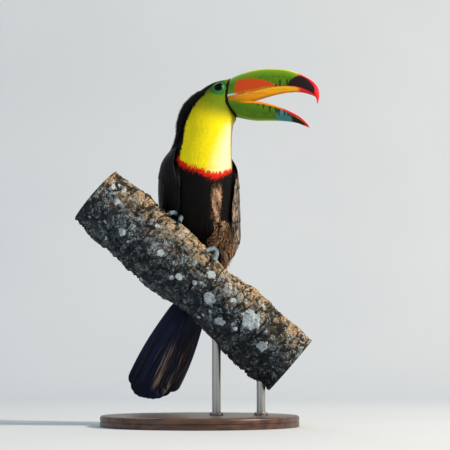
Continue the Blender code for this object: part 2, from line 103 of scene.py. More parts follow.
HEAD_YAW, HEAD_ROLL = math.radians(80), math.radians(-12)
ROLL_START, ROLL_STATIONS = 7, 3
EYE_RADIUS, EYE_STATION, EYE_ANGLE, EYE_DEPTH = 6.6, 11.5, math.radians(110), 3.6
EYE_SIDES, ORBIT_RADIUS, FEATHERS_END = 56, 9.8, 12.9

# Bill sections in the head's frame: forward and up of the top, forward and up of the lower edge,
# half width there.
UPPER_BILL = (
    (-3, 23, -3, -5.5, 17), (0, 24.8, -1, -4.5, 17.5), (17, 32.7, 15, -2.5, 17.5), (38, 37.7, 34, 2, 16),
    (59, 38, 54, 7, 14), (80, 34.5, 72, 9.5, 11.5), (98, 25.8, 87, 9, 8.8),
    (107.5, 19.2, 97, 6.5, 6.6), (113.6, 11.5, 105.8, 3, 4.4), (116.2, 2.4, 111.3, -1.4, 2.4),
    (114.6, -10.2, 113.6, -10.2, 0.5),
)
LOWER_BILL = (
    (-3, -8, -5, -18.5, 16), (0, -8.5, -2, -20, 16.5), (17, -10, 14, -25.5, 16), (38, -10, 34, -30.2, 14),
    (54.5, -13.2, 52, -31, 11.7), (72, -18.9, 69, -32, 9), (89, -27, 86, -34.8, 6),
    (98, -34, 96, -38.6, 3.8), (105, -41.6, 104.4, -42.6, 0.6),
)
RIDGE_WIDTH, CHEEK_ROUND, CHEEK_DROP, KEEL_ROUND = 0.16, 0.82, 1.15, 0.8
PALATE_RISE, TROUGH_DEPTH, TOOTH_PITCH = 0.2, 0.42, 3.1

WING_TOP, WING_FOOT = 5.72, 0.35
WING_THICK, WING_LIFT, WING_TIP_LIFT, WING_SKIN_SUNK = 7, 1.6, 9.5, 2.2
# Rows of wing feathers, each over the one before: primaries, secondaries, greater and median
# coverts. For each: how many; how far along the wing and across it the first root lies, and the
# step across to the next; how far along the first end lies, and the step; how far across it lies,
# and the step; width; how far it is let in; and the rise from one feather to the next.
WING_ROWS = (
    (8, 0.36, 0.02, 0.07, 0.84, 0.022, 0.06, 0.1, 14, 2.0, 0.16),
    (11, 0.3, 0.04, 0.088, 0.64, 0.022, 0.04, 0.096, 16, 1.3, 0.13),
    (13, 0.2, 0.02, 0.075, 0.44, 0.008, 0.01, 0.08, 14, 0.7, 0.09),
    (14, 0.1, 0.04, 0.07, 0.29, 0.004, 0.02, 0.074, 12, 0.2, 0.07),
)
SCAPULARS = 8
# The left wing hangs forward by this share of its breadth. Painted sunlight lies on its front edge and on
# the right of the tail: where it starts and is full in the feathers' order, where it starts and is full
# along them, and its share.
LEFT_WING_FORWARD = 0.07
WING_SUNLIGHT = {"left": (0.15, 0.08, -1, 0, 1), "right": (2, 3, 0, 1, 0)}
TAIL_SUNLIGHT = (0.5, 0.62, 0.45, 0.75, 0.9)
# Patches of wing and tail feathers along a side of the bake map, and the size of a tuft's patch.
PATCHES, TUFT_PATCH = 8, 0.003

TAIL_ROOT, TAIL_TIP = np.array((0, 81, 182.0)), np.array((-74, 108, 32.0))
TAIL_YAW, TAIL_SKEW, TAIL_ROUNDING = math.radians(12), 0.035, 0.13
TAIL_FEATHERS, TAIL_ARCH = 10, 4
TAIL_ROOT_WIDTH, TAIL_WIDTH, TAIL_WIDEST = 14, 33.5, 0.85
COVERT_LENGTH = 36

# Coat pieces: kind of tuft; spacing, length and width in mm; lift and unruliness in degrees.
COATS = {
    "head": ("lance", 0.7, 5.4, 3.0, 5, 6),
    "cheek": ("lance", 0.8, 6.2, 3.8, 2.6, 4),
    "throat": ("lance", 0.85, 7.0, 4.4, 2.6, 4),
    "nape": ("lance", 1.05, 13, 3.4, 19, 16),
    "breast": ("lance", 1.0, 9.5, 4.2, 3.6, 5),
    "belly": ("lance", 1.1, 14, 3.6, 13, 16),
    "flank": ("lance", 1.15, 20, 3.2, 17, 17),
    "back": ("scale", 1.5, 12, 6.5, 9, 7),
    "rump": ("lance", 1.1, 11, 4.0, 9, 8),
    "shoulder": ("scale", 1.3, 8, 4.8, 9, 6),
    "scapular": ("scale", 1.6, 11, 5.0, 12, 7),
}

PERCH_TOP, PERCH_FOOT = np.array((-132.3, 0, 291.0)), np.array((114.9, 0, 77.5))
PERCH_RADIUS, PERCH_TAPER = 42.5, 0.006
KNOT_PLACE, KNOT_TURN, KNOT_HEIGHT = 262, 0.5, 3.2
# Round lichen crusts that stand out on the branch: along it, degrees from its ridge, radius.
LICHENS = ((252, 78, 13), (178, 62, 6), (150, 104, 5), (196, 98, 8), (113, 92, 4.5), (284, 100, 7),
           (60, 108, 5), (30, 74, 5), (224, 118, 7), (88, 60, 3.5))
SMALL_LICHENS, BARK_RINGS, BARK_SIDES = 70, 300, 296
FEET = {"right": (96, -14), "left": (160, -8)}
TOE_RADIUS, TOE_TAPER, TOE_ARCH = 3.6, 0.28, 2.4
TOE_LENGTHS, TOE_SPREAD = (17, 31, 33, 21), (158, -14, 16, -150)
CLAW_LENGTH, CLAW_RADIUS, CLAW_TIP, CLAW_RINGS, CLAW_SIDES = 11, 2.3, 0.25, 16, 14
TARSUS_RADIUS, TARSUS_SHOWN, TARSUS_LEAN = 4.2, 21, (4, 15)
BARK_CLEARANCE = 0.45
THIGH_RADIUS, THIGH_END, THIGH_SUNK, THIGH_STATION, HIP = 15, 0.42, 14, 2.6, (3.3, math.radians(50))

BASE_RADIUS, BASE_THICK, ROD_RADIUS, ROD_X = 125, 14, 5.5, (21, 77)


# ---- numbers and shapes ----

def circle(count):
    """Angles of this many places round a circle."""
    return np.linspace(0, 2 * np.pi, count, endpoint=False)


def grid(rows, columns):
    return np.meshgrid(rows, columns, indexing="ij")


def unit(vectors):
    return vectors / np.maximum(np.linalg.norm(vectors, axis=-1, keepdims=True), 1e-9)


def curve(table, at):
    """Rows of a table read at places between them, along a smooth curve."""
    table = np.asarray(table, float)
    at = np.clip(np.asarray(at, float), 0, len(table) - 1)
    index = np.clip(np.floor(at).astype(int), 0, len(table) - 2)
    part = (at - index)[..., None]
    a, b, c, d = (table[np.clip(index + step, 0, len(table) - 1)] for step in (-1, 0, 1, 2))
    return b + 0.5 * part * (c - a + part * (2 * a - 5 * b + 4 * c - d + part * (3 * (b - c) + d - a)))


def turned(vectors, axis, angle):
    angle = np.asarray(angle)[..., None]
    along = axis * np.sum(axis * vectors, axis=-1, keepdims=True)
    return vectors * np.cos(angle) + np.cross(axis, vectors) * np.sin(angle) + along * (1 - np.cos(angle))


def mixed(first, second, share):
    return first + (second - first) * share


def eased(value, low, high):
    """0 up to low, 1 from high on, and smooth between."""
    part = np.clip((value - low) / (high - low), 0, 1)
    return part * part * (3 - 2 * part)


def lattice(cells, seed):
    """A fixed random number from 0 to 1 for each whole-number cell."""
    across, along, up = np.moveaxis(cells, -1, 0)
    mixed_up = across * 73856093 ^ along * 19349663 ^ up * 83492791 ^ seed * 2654435
    mixed_up = (mixed_up ^ (mixed_up >> 13)) * 1274126177 & 0x7fffffff
    return ((mixed_up ^ (mixed_up >> 16)) & 0xffff) / 65535


def noise(points, size, seed, octaves=1):
    """Smooth random heights from 0 to 1 over the points, with lumps of about this size in mm."""
    total, weight = 0.0, 0.0
    for octave in range(octaves):
        scaled = points / (size / 2 ** octave)
        cell = np.floor(scaled).astype(np.int64)
        part = scaled - cell
        part = part * part * (3 - 2 * part)
        value = 0.0
        for corner in range(8):
            step = np.array([corner & 1, corner >> 1 & 1, corner >> 2 & 1])
            share = np.prod(np.where(step, part, 1 - part), axis=-1)
            value = value + share * lattice(cell + step, seed + 17 * octave)
        total, weight = total + value * 0.5 ** octave, weight + 0.5 ** octave
    return total / weight


def body_frames(at):
    x, y, z, yaw, pitch, width, front, back = np.moveaxis(curve(BODY, at), -1, 0)
    yaw, pitch = np.radians(yaw), np.radians(pitch)
    roll = HEAD_ROLL * np.clip((at - ROLL_START) / ROLL_STATIONS, 0, 1)
    none = np.zeros_like(yaw)
    ahead = np.stack((np.sin(yaw), -np.cos(yaw), none), -1)
    left = np.stack((np.cos(yaw), np.sin(yaw), none), -1)
    facing = ahead * np.cos(pitch)[..., None] - np.array((0, 0, 1)) * np.sin(pitch)[..., None]
    facing, left = turned(facing, ahead, roll), turned(left, ahead, roll)
    return np.stack((x, y, z), -1), facing, left, width, front, back


def tail_axes():
    along = unit(TAIL_TIP - TAIL_ROOT)
    left = np.array((math.cos(TAIL_YAW), math.sin(TAIL_YAW), 0))
    left = unit(left - along * left.dot(along))
    return along, left, unit(np.cross(along, left))


def body_points(at, angle, swell=0.0):
    """Points of the body at stations and angles from the front, positive to the bird's left.

    Stations below 0 are the tail's coverts, down to -1.
    """
    at, angle, swell = np.broadcast_arrays(np.asarray(at, float), angle, swell)
    centre, front, left, width, reach, back = body_frames(np.maximum(at, 0))
    across, forward = np.sin(angle), np.cos(angle)
    depth = np.where(forward > 0, reach, back)
    ahead, aside = forward * (depth + swell), across * (width + swell)
    points = centre + front * ahead[..., None] + left * aside[..., None]
    along, tail_left, under = tail_axes()
    part = np.clip(-at, 0, 1)
    size = np.interp(part, (0, 0.45, 0.8, 1), (1, 0.74, 0.42, 0.12))
    cone = TAIL_ROOT + along * (COVERT_LENGTH * part)[..., None]
    cone = cone + under * (forward * np.maximum(depth * size + swell, 0.4))[..., None]
    cone = cone + tail_left * (across * np.maximum(width * size + swell, 0.4))[..., None]
    share = np.clip(part / 0.45, 0, 1)[..., None]
    return mixed(points, cone, share)


def head_points(forward, side, up):
    """Points in the head's own frame: ahead of the gape, to the bird's left, and up."""
    forward, side, up = np.broadcast_arrays(forward, side, up)
    ahead = np.array((math.sin(HEAD_YAW), -math.cos(HEAD_YAW), 0))
    level = np.array((math.cos(HEAD_YAW), math.sin(HEAD_YAW), 0))
    raised = level * np.asarray(side)[..., None] + np.array((0, 0, 1)) * np.asarray(up)[..., None]
    return GAPE + ahead * np.asarray(forward)[..., None] + turned(raised, ahead, HEAD_ROLL)


def wing_edges(part):
    """Angles of the folded wing's front and hind edges."""
    front = 50 + 18 * part + 30 * np.exp(-part / 0.06) + 84 * (2 * np.maximum(part - 0.5, 0)) ** 1.7
    return front, 175 - 7 * part - 60 * np.exp(-part / 0.05)


def wing_points(side, part, across, height=0.0):
    """Points over a folded wing: part of the way to its tip, and across from its front edge to its
    hind one."""
    part, across, height = np.broadcast_arrays(np.asarray(part, float), across, height)
    at = WING_TOP + (WING_FOOT - WING_TOP) * part
    front, hind = wing_edges(part)
    angle = side * np.radians(front + (hind - front) * across)
    return body_points(at, angle, WING_LIFT + WING_TIP_LIFT * np.maximum(part - 0.4, 0) ** 1.2 + height)


def wing_thickness(part, across):
    round_it = np.sin(np.pi * np.clip(across * 1.05 + 0.04, 0, 1))
    thick = WING_THICK * (0.22 + 0.78 * np.maximum(round_it, 0) ** 0.6)
    return np.maximum(thick * (0.3 + 0.7 * np.sin(np.pi * (0.12 + 0.8 * part))), 1.0)


def wing_surface(part, across, sunk):
    """Height of the folded wing for wing_points, let into the shoulder at its top and hind edge."""
    hind = (1 - eased(1 - across, 0, 0.24)) * (1 - eased(part, 0.35, 0.75))
    share = eased(part, -0.03, 0.09) * (1 - hind)
    return mixed(-WING_LIFT - 0.5, wing_thickness(part, np.clip(across, 0, 1)), share) - sunk


def perch_axes():
    along = unit(PERCH_FOOT - PERCH_TOP)
    front = np.array((0, -1.0, 0))
    return along, front, unit(np.cross(front, along))


def perch_radius(down, angle):
    swell = 2.2 * np.sin(down / 31 - 1.42) + 0.8 * np.sin(down / 17 + 2 * angle)
    lobes = 1.1 * np.sin(3 * angle + down / 60) + 0.7 * np.sin(5 * angle - down / 45)
    round_it = np.remainder(angle - KNOT_TURN + np.pi, 2 * np.pi) - np.pi
    knot = KNOT_HEIGHT * np.exp(-((down - KNOT_PLACE) / 16) ** 2 - (round_it / 0.4) ** 2)
    return PERCH_RADIUS - PERCH_TAPER * down + swell + lobes + knot


def perch_points(down, angle, height=0.0):
    """Points over the branch: this far along it, at an angle from its ridge towards the front."""
    down, angle, height = np.broadcast_arrays(np.asarray(down, float), angle, height)
    along, front, top = perch_axes()
    reach = (perch_radius(down, angle) + height)[..., None]
    out = top * np.cos(angle)[..., None] + front * np.sin(angle)[..., None]
    return PERCH_TOP + along * down[..., None] + out * reach


def quads(rows, columns, wrap=False, first=0):
    """Faces over a grid of points, row after row."""
    faces = []
    for row in range(rows - 1):
        for column in range(columns if wrap else columns - 1):
            after = (column + 1) % columns
            low, high = first + row * columns, first + (row + 1) * columns
            faces.append((low + column, low + after, high + after, high + column))
    return faces


def closed_loft(rings):
    """Points and faces of a tube through the rings, with a cap at each end."""
    rows, sides = rings.shape[:2]
    faces = quads(rows, sides, wrap=True)
    faces.append(tuple(range(sides))[::-1])
    faces.append(tuple((rows - 1) * sides + side for side in range(sides)))
    return rings.reshape(-1, 3), faces


def joined(parts):
    """Several (points, faces) as one."""
    points, faces, first = [], [], 0
    for part_points, part_faces in parts:
        points.append(part_points)
        faces += [tuple(first + corner for corner in face) for face in part_faces]
        first += len(part_points)
    return np.concatenate(points), faces


def add_numbers(mesh, numbers):
    """Numbers of the mesh's points as attributes, by name: one or three for each point."""
    for key, values in numbers.items():
        values = np.asarray(values, float)
        kind, field = ("FLOAT", "value") if values.ndim == 1 else ("FLOAT_VECTOR", "vector")
        mesh.attributes.new(key, kind, "POINT").data.foreach_set(field, values.ravel())


def made(name, points, faces, surface=None, numbers=None, outward=True):
    """An object of these points in mm, with its faces turned outwards and numbers on its points."""
    mesh = bpy.data.meshes.new(name)
    mesh.from_pydata((np.asarray(points) * MM).tolist(), [], faces)
    if outward:
        worked = bmesh.new()
        worked.from_mesh(mesh)
        bmesh.ops.recalc_face_normals(worked, faces=worked.faces)
        worked.to_mesh(mesh)
        worked.free()
    add_numbers(mesh, numbers or {})
    mesh.shade_smooth()
    if surface:
        mesh.materials.append(surface)
    piece = bpy.data.objects.new(name, mesh)
    bpy.context.scene.collection.objects.link(piece)
    return piece


def evaluated(piece, surface):
    """The piece's modifiers made real, so that it is a plain mesh of this material."""
    graph = bpy.context.evaluated_depsgraph_get()
    finished = bpy.data.meshes.new_from_object(piece.evaluated_get(graph), depsgraph=graph)
    piece.modifiers.clear()
    piece.data = finished
    finished.materials.clear()
    finished.materials.append(surface)
    return piece


def remeshed(name, parts, size, rounds, surface):
    """Overlapping closed shapes as one skin, smoothed."""
    piece = made(name, *joined(parts))
    whole = piece.modifiers.new("One skin", "REMESH")
    whole.mode, whole.voxel_size = "VOXEL", size * MM
    soften = piece.modifiers.new("Soften", "SMOOTH")
    soften.factor, soften.iterations = 0.5, rounds
    evaluated(piece, surface).data.shade_smooth()
    return piece


def mesh_points(piece):
    points = np.empty(len(piece.data.vertices) * 3)
    piece.data.vertices.foreach_get("co", points)
    return points.reshape(-1, 3) / MM


def nearest(samples, points):
    """The index of the nearest sample to each point."""
    tree = KDTree(len(samples))
    for index, sample in enumerate(samples):
        tree.insert(sample, index)
    tree.balance()
    return np.array([tree.find(point)[1] for point in points])


def finish_piece(piece, *nodes, slot=None):
    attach(piece, BODY_NAME)
    if nodes:
        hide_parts(*nodes)
    return piece


# ---- materials ----

MIX, RANGE, NOISE = "ShaderNodeMix", "ShaderNodeMapRange", "ShaderNodeTexNoise"
CURVE, MAPPING, XYZ = "ShaderNodeFloatCurve", "ShaderNodeMapping", "ShaderNodeCombineXYZ"


def linear(code):
    """The linear colour of an sRGB hex value."""
    parts = [int(code[place:place + 2], 16) / 255 for place in (1, 3, 5)]
    return (*(part / 12.92 if part <= 0.04045 else ((part + 0.055) / 1.055) ** 2.4 for part in parts), 1)


def plug(tree, value, socket):
    """Fill a socket with a value, a socket or a node. In a material a name stands for what its piece
    gives: "place" for the place on it in metres, any other for one of the numbers of its points."""
    if isinstance(value, str) and tree.type == "SHADER":
        value = (node(tree, "ShaderNodeTexCoord").outputs["Object"] if value == "place" else
                 node(tree, "ShaderNodeAttribute", attribute_name=value).outputs["Fac"])
    if isinstance(value, bpy.types.Node):
        value = next(output for output in value.outputs if output.enabled)
    if isinstance(value, bpy.types.NodeSocket):
        tree.links.new(value, socket)
    elif value is not None:
        socket.default_value = value


def node(tree, kind, *inputs, points=(), **settings):
    """A node with its settings, its inputs in order and the points of its curve. Where kind is no node's
    name, it is the operation of a Math node."""
    if "Node" not in kind:
        kind, settings["operation"] = "ShaderNodeMath", kind
    added = tree.nodes.new(kind)
    for name, value in settings.items():
        setattr(added, name, value)
    for socket, value in zip([socket for socket in added.inputs if socket.enabled], inputs):
        plug(tree, value, socket)
    if points:
        line = added.mapping.curves[0]
        while len(line.points) < len(points):
            line.points.new(0.5, 0.5)
        for spot, place in zip(line.points, points):
            spot.location, spot.handle_type = place, "AUTO_CLAMPED"
        added.mapping.update()
    return added


def per_mm(size):
    """The scale of a texture whose lumps are about this many mm wide."""
    return 1 / (size * MM)


def mask(tree, *limits):
    """Where every limit holds. A limit is a share, or (number, where it starts, where it is full)
    and then the shares there, where they aren't 0 and 1."""
    shares = [node(tree, RANGE, *limit) if isinstance(limit, tuple) else limit for limit in limits]
    return functools.reduce(lambda first, second: node(tree, "MULTIPLY", first, second), shares)


def painted(tree, base, *layers):
    """Colours laid one over another: each layer is a colour and the limits of where it lies."""
    for colour, *limits in layers:
        base = node(tree, MIX, mask(tree, *limits), base, colour, data_type="RGBA")
    return base


def new_material(name, roughness, **constants):
    """A Principled material with constants on the shader's own sockets, its nodes, and the colours."""
    finish = bpy.data.materials.new(name)
    finish.use_nodes = True
    shader = finish.node_tree.nodes["Principled BSDF"]
    for socket, value in {"Roughness": roughness, **constants}.items():
        shader.inputs[socket.replace("_", " ")].default_value = value
    return finish, finish.node_tree, bpy.context.scene.toucan_colours


def dressed(finish, colour, height=None, depth=0.0, strength=1.0):
    """The material with this colour, and with relief of this depth in mm."""
    tree = finish.node_tree
    sockets = tree.nodes["Principled BSDF"].inputs
    plug(tree, colour, sockets["Base Color"])
    if height is not None:
        plug(tree, node(tree, "ShaderNodeBump", strength, depth * MM, None, height), sockets["Normal"])
    return finish


# ---- skin ----

def coat_depth(at):
    """How far the skin lies under the tips of the feathers, in mm."""
    return np.interp(at, (-1, 0, 8, 10, 12, 13), (0.8, 2.2, 2.4, 1.8, 1.1, 0.6))


def tuft_size(at):
    """How large the tufts are, as a share of the usual."""
    return np.interp(at, (-1, 0, 3, 7, 9, 10.5, 12, 13), (0.9, 1, 1, 0.95, 0.8, 0.6, 0.42, 0.36))


def leg_line(side):
    """The foot's middle over the branch, and the heel."""
    down, angle = FEET[side]
    base = perch_points(down, math.radians(angle), 1.5 * TOE_RADIUS)
    return base, base + np.array((-TARSUS_LEAN[0] * SIDES[side], TARSUS_LEAN[1], TARSUS_SHOWN))


def tube(points, radii, sides=16, squash=1.0):
    """Rings round a line of points."""
    points, radii = np.asarray(points, float), np.asarray(radii, float)
    ahead = unit(np.gradient(points, axis=0))
    across = unit(np.cross(ahead, np.array((0.12, 0.2, 1.0))))
    upward = np.cross(across, ahead)
    turn = circle(sides)
    out = across[:, None] * np.cos(turn)[:, None] + upward[:, None] * np.sin(turn)[:, None] * squash
    return points[:, None] + out * radii[:, None, None]


def thigh(side):
    """Rings round the thigh, as far under its feathers as the skin lies."""
    base, heel = leg_line(side)
    hip = body_points(HIP[0], HIP[1] * SIDES[side], -THIGH_SUNK)
    low = base + (heel - base) * THIGH_END
    part = np.linspace(0, 1, 12)
    radii = THIGH_RADIUS * np.sin(np.pi * (0.1 + 0.74 * part)) - 1.5
    return tube(hip + (low - hip) * part[:, None], radii), low - hip


def flesh_samples():
    """Places over the flesh with what each needs to know: how the coat lies there, its station, its
    angle from the front, and which part of the bird it is on (0 body, 1 wing, 2 thigh)."""
    at, angle = grid(np.linspace(-1, BILL_STATION, 141), np.linspace(-np.pi, np.pi, 90, endpoint=False))
    points = body_points(at, angle, -coat_depth(at))
    lie = body_points(at - 0.05, angle, -coat_depth(at)) - points
    lie[at <= -0.94] = tail_axes()[0]
    rows = [(points, lie, at, angle, np.zeros_like(at))]
    part, across = grid(np.linspace(0, 1, 40), np.linspace(0, 1, 24))
    at = WING_TOP + (WING_FOOT - WING_TOP) * part
    for side in SIDES.values():
        height = wing_surface(part, across, WING_SKIN_SUNK)
        points = wing_points(side, part, across, height)
        lie = wing_points(side, part + 0.01, across + 0.004, height) - points
        rows.append((points, lie, at, side * np.radians(90 + 80 * across), np.ones_like(at)))
    for side in FEET:
        rings, lie = thigh(side)
        whole = np.ones(rings.shape[:2])
        rows.append((rings, np.broadcast_to(lie, rings.shape), THIGH_STATION * whole, 0.7 * whole,
                     2 * whole))
    points, lie, *numbers = zip(*rows)
    return [np.concatenate([row.reshape(-1, 3) for row in rows]) for rows in (points, lie)] + [
        np.concatenate([row.ravel() for row in rows]) for rows in numbers]


def clear_of_perch(points, height):
    """Points that would be in the branch, pushed out to this height over its bark."""
    along, front, top = perch_axes()
    offset = points - PERCH_TOP
    down = offset @ along
    angle = np.arctan2(offset @ front, offset @ top)
    reach = np.hypot(offset @ front, offset @ top)
    wanted = perch_radius(down, angle) + height
    inside = (reach < wanted) & (down > -2) & (down < np.linalg.norm(PERCH_FOOT - PERCH_TOP) + 2)
    cleared = perch_points(down, angle, height)
    return np.where(inside[:, None], cleared, points), inside


def skin_shapes():
    """The closed shapes that the skin is made of: body, wings and thighs."""
    at, angle = grid(np.linspace(-1, BILL_STATION, 190), circle(96))
    shapes = [closed_loft(body_points(at, angle, -coat_depth(at)))]
    part, across = grid(np.linspace(0.01, 0.99, 40), np.linspace(0.02, 0.98, 24))
    for side in SIDES.values():
        outer = wing_points(side, part, across, wing_surface(part, across, WING_SKIN_SUNK))
        inner = wing_points(side, part, across, -7 - WING_TIP_LIFT * np.maximum(part - 0.4, 0) ** 1.2)
        shapes.append(closed_loft(np.concatenate((outer, inner[:, ::-1]), axis=1)))
    return shapes + [closed_loft(thigh(side)[0]) for side in FEET]


def make_skin():
    skin = remeshed("skin", skin_shapes(), size=1.3, rounds=4,
                    surface=plumage_material("Skin under feathers", coat=False))
    points, pressed = clear_of_perch(mesh_points(skin), 0.6)
    skin.data.vertices.foreach_set("co", (points * MM).ravel())
    skin.data.update()
    samples, lie, at, angle, part = flesh_samples()
    index = nearest(samples, points)
    at, angle = at[index], angle[index]
    add_numbers(skin.data, {"station": at, "away": np.degrees(np.abs(angle)), "lie": unit(lie[index]),
                            "part": part[index], "size": tuft_size(at) * np.where(pressed, 0.3, 1.0),
                            "round": np.stack((np.cos(angle), np.sin(angle), at), -1)})
    finish_piece(skin, "trunk", "neck", "head", slot="black_feather")


def eye_centres():
    """Each eye's centre and the way it looks, by side."""
    found = {}
    for name, side in SIDES.items():
        angle = side * EYE_ANGLE
        here = body_points(EYE_STATION, angle)
        ahead = body_points(EYE_STATION + 0.05, angle) - here
        round_it = body_points(EYE_STATION, angle + side * math.radians(2)) - here
        normal = unit(np.cross(ahead, round_it))
        if normal @ (here - body_frames(np.float64(EYE_STATION))[0]) < 0:
            normal = -normal
        found[name] = (here - normal * EYE_DEPTH, normal)
    return found


# ---- plumage ----

def markings():
    """The colours of skin and coat alike, from the station along the body and the angle from the
    front."""
    tree = bpy.data.node_groups.get("Markings")
    if tree:
        return tree
    hues = bpy.context.scene.toucan_colours
    tree = bpy.data.node_groups.new("Markings", "ShaderNodeTree")
    tree.interface.new_socket("Colour", in_out="OUTPUT", socket_type="NodeSocketColor")
    ragged = node(tree, "SUBTRACT", node(tree, NOISE, "place", per_mm(2.5), 2), 0.5)
    station = node(tree, "MULTIPLY_ADD", ragged, 0.16, "station")
    away = node(tree, "MULTIPLY_ADD", ragged, 9.0, "away")
    along, turned_away = node(tree, "DIVIDE", station, BILL_STATION), node(tree, "DIVIDE", away, 180.0)
    # The bib ends at an angle that depends on the station, and at a station that depends on the angle.
    flank = node(tree, CURVE, 1.0, along,
                 points=((0, 0.34), (0.43, 0.36), (0.455, 0.41), (0.48, 0.435), (0.525, 0.5), (0.565, 0.548),
                         (0.61, 0.57), (0.66, 0.6), (0.71, 0.618), (0.78, 0.67), (0.85, 0.75), (0.9, 0.81),
                         (0.95, 0.85), (1, 0.87)))
    foot = node(tree, CURVE, 1.0, turned_away,
                points=((0, 0.412), (0.11, 0.418), (0.2, 0.425), (0.28, 0.428), (0.36, 0.438), (0.45, 0.45),
                        (0.55, 0.46), (1, 0.46)))
    over = node(tree, "SUBTRACT", along, foot)
    bib = mask(tree, (node(tree, "SUBTRACT", flank, turned_away), -0.006, 0.01), (over, -0.002, 0.003))
    band_edge = node(tree, RANGE, turned_away, 0.0, 0.12, -0.019, -0.014)
    band = mask(tree, (node(tree, "SUBTRACT", over, band_edge), -0.004, 0.006), (turned_away, 0.45, 0.41),
                (over, 0.014, 0.008))
    near_eye = node(tree, "MINIMUM", *(node(tree, "ShaderNodeVectorMath", "place", tuple(centre * MM),
                                            operation="DISTANCE") for centre, _ in eye_centres().values()))
    face, emerald = (node(tree, RANGE, near_eye, *span, interpolation_type="SMOOTHSTEP")
                     for span in ((0.048, 0.010), (0.0135, 0.009)))
    rump = mask(tree, (away, 118, 126), (station, 0.9, 0.75))
    vent = mask(tree, (away, 88, 82), (station, 0.35, 0.2), (station, -0.55, -0.3))
    round_it = node(tree, "ShaderNodeAttribute", attribute_name="round").outputs["Vector"]
    leftward = node(tree, "ShaderNodeSeparateXYZ", round_it).outputs["Y"]
    # Painted sunlight: the bib turns cream on its left, below where the bill's shadow falls. Above that,
    # the upper bib's olive is partly the throat's own colour and partly painted shadow of the bill.
    bib_colour = painted(tree, hues.bib_low,
                         (hues.bib_sunlit_cream, (leftward, -0.34, 0.2, 0, 0.62), (station, 8.5, 7.6),
                          (away, 50, 85, 1, 0.3)),
                         (hues.upper_bib_and_bill_shadow, (station, 7.6, 9.6)), (hues.face, face), (hues.orbit, emerald))
    # Painted sunlight: brown and fawn streaks make a fibrous strip down the belly, wider and turned to its
    # left further down.
    signed = node(tree, "MULTIPLY", away, node(tree, "SIGN", leftward))
    slanted = node(tree, "MULTIPLY_ADD", station, 23.0, signed)
    strands = node(tree, XYZ, node(tree, "MULTIPLY", slanted, 0.6 * MM),
                   node(tree, "MULTIPLY", station, 2.7 * MM))
    strand = node(tree, NOISE, strands, per_mm(3.4), 3)
    beside = node(tree, "SUBTRACT", signed, node(tree, RANGE, station, 3.7, 1.3, 10, 66))
    beside = node(tree, "DIVIDE", node(tree, "ABSOLUTE", beside),
                  node(tree, RANGE, station, 3.6, 1.6, 9, 23))
    sunlit_strip = mask(tree, (beside, 1.2, 0.8), (station, 0.1, 0.8), (station, 5.0, 4.6), (signed, 92, 72))
    colour = painted(tree, hues.black, (hues.brown, sunlit_strip, (strand, 0.43, 0.5)),
                     (hues.fawn, sunlit_strip, (strand, 0.51, 0.62), (station, 0.9, 2.0, 0.3, 1)),
                     (hues.vent, vent), (hues.rump, rump), (hues.band, band), (bib_colour, bib),
                     (hues.black, (station, 12.75, 12.9)))
    node(tree, "NodeGroupOutput", colour)
    return tree


def plumage_material(name, coat=True):
    """Feather, a soft matt keratin: each tuft a little lighter or darker, with painted shade towards its
    root.
    """
    finish, tree, _ = new_material(name, roughness=0.75, Specular_IOR_Level=0.15)
    # Painted shade: each tuft is darker towards its root, and the bare skin between the tufts a little
    # darker.
    tone_and_painted_shade = 0.95
    if coat:
        tone_and_painted_shade = node(tree, "MULTIPLY_ADD", "chance", 0.14, node(tree, "MULTIPLY_ADD", "tip", 0.12, 0.9))
    shade = node(tree, MIX, 1.0, node(tree, "ShaderNodeGroup", node_tree=markings()),
                 node(tree, "ShaderNodeCombineColor", tone_and_painted_shade, tone_and_painted_shade, tone_and_painted_shade), data_type="RGBA",
                 blend_type="MULTIPLY")
    return dressed(finish, shade, node(tree, NOISE, "place", per_mm(0.7), 2), depth=0.12, strength=0.4)


def small_feather(name, points, faces, tip, barb):
    """A feather 1 long and lying along +X, for the plumage to scale, with how far along and aside of its
    shaft each point is."""
    return made(name, np.array(points) / MM, [face[::-1] for face in faces], outward=False,
                numbers={"tip": tip, "barb": barb})


def tuft(name, blades, spread, half):
    """A tuft of pointed blades from one root."""
    points, faces, tip, barb = [], [], [], []
    for blade in range(blades):
        share = blade / (blades - 1) * 2 - 1
        turn = math.radians(spread) * share
        reach = 1 - 0.22 * abs(share) - 0.05 * (blade % 2)
        first = len(points)
        for part, width in ((0, 0.7), (0.5, 1.0), (1, 0)):
            for edge in ((-1, 1) if width else (0,)):
                along, aside = reach * part, edge * half * width + share * 0.16
                points.append((along * math.cos(turn) - aside * math.sin(turn),
                               along * math.sin(turn) + aside * math.cos(turn),
                               0.1 * math.sin(math.pi * part * 0.9) - 0.05 * share * share))
                tip.append(part)
                barb.append(share * 0.7 + edge * 0.3)
        faces += [(first, first + 2, first + 3, first + 1), (first + 2, first + 4, first + 3)]
    return small_feather(name, points, faces, tip, barb)


def scale_feather(name):
    """One rounded contour feather with a ragged end."""
    rows = ((0, 0.16), (0.3, 0.4), (0.62, 0.5), (0.86, 0.42), (1.0, 0.16))
    points = [(along - (0.07 * abs(edge) if along == 1 else 0), edge * half,
               0.1 * math.sin(math.pi * along) - 0.1 * abs(edge) * half)
              for along, half in rows for edge in (-1, 0, 1)]
    return small_feather(name, points, quads(len(rows), 3), np.repeat([along for along, _ in rows], 3),
                         np.tile((-1, 0, 1), len(rows)))


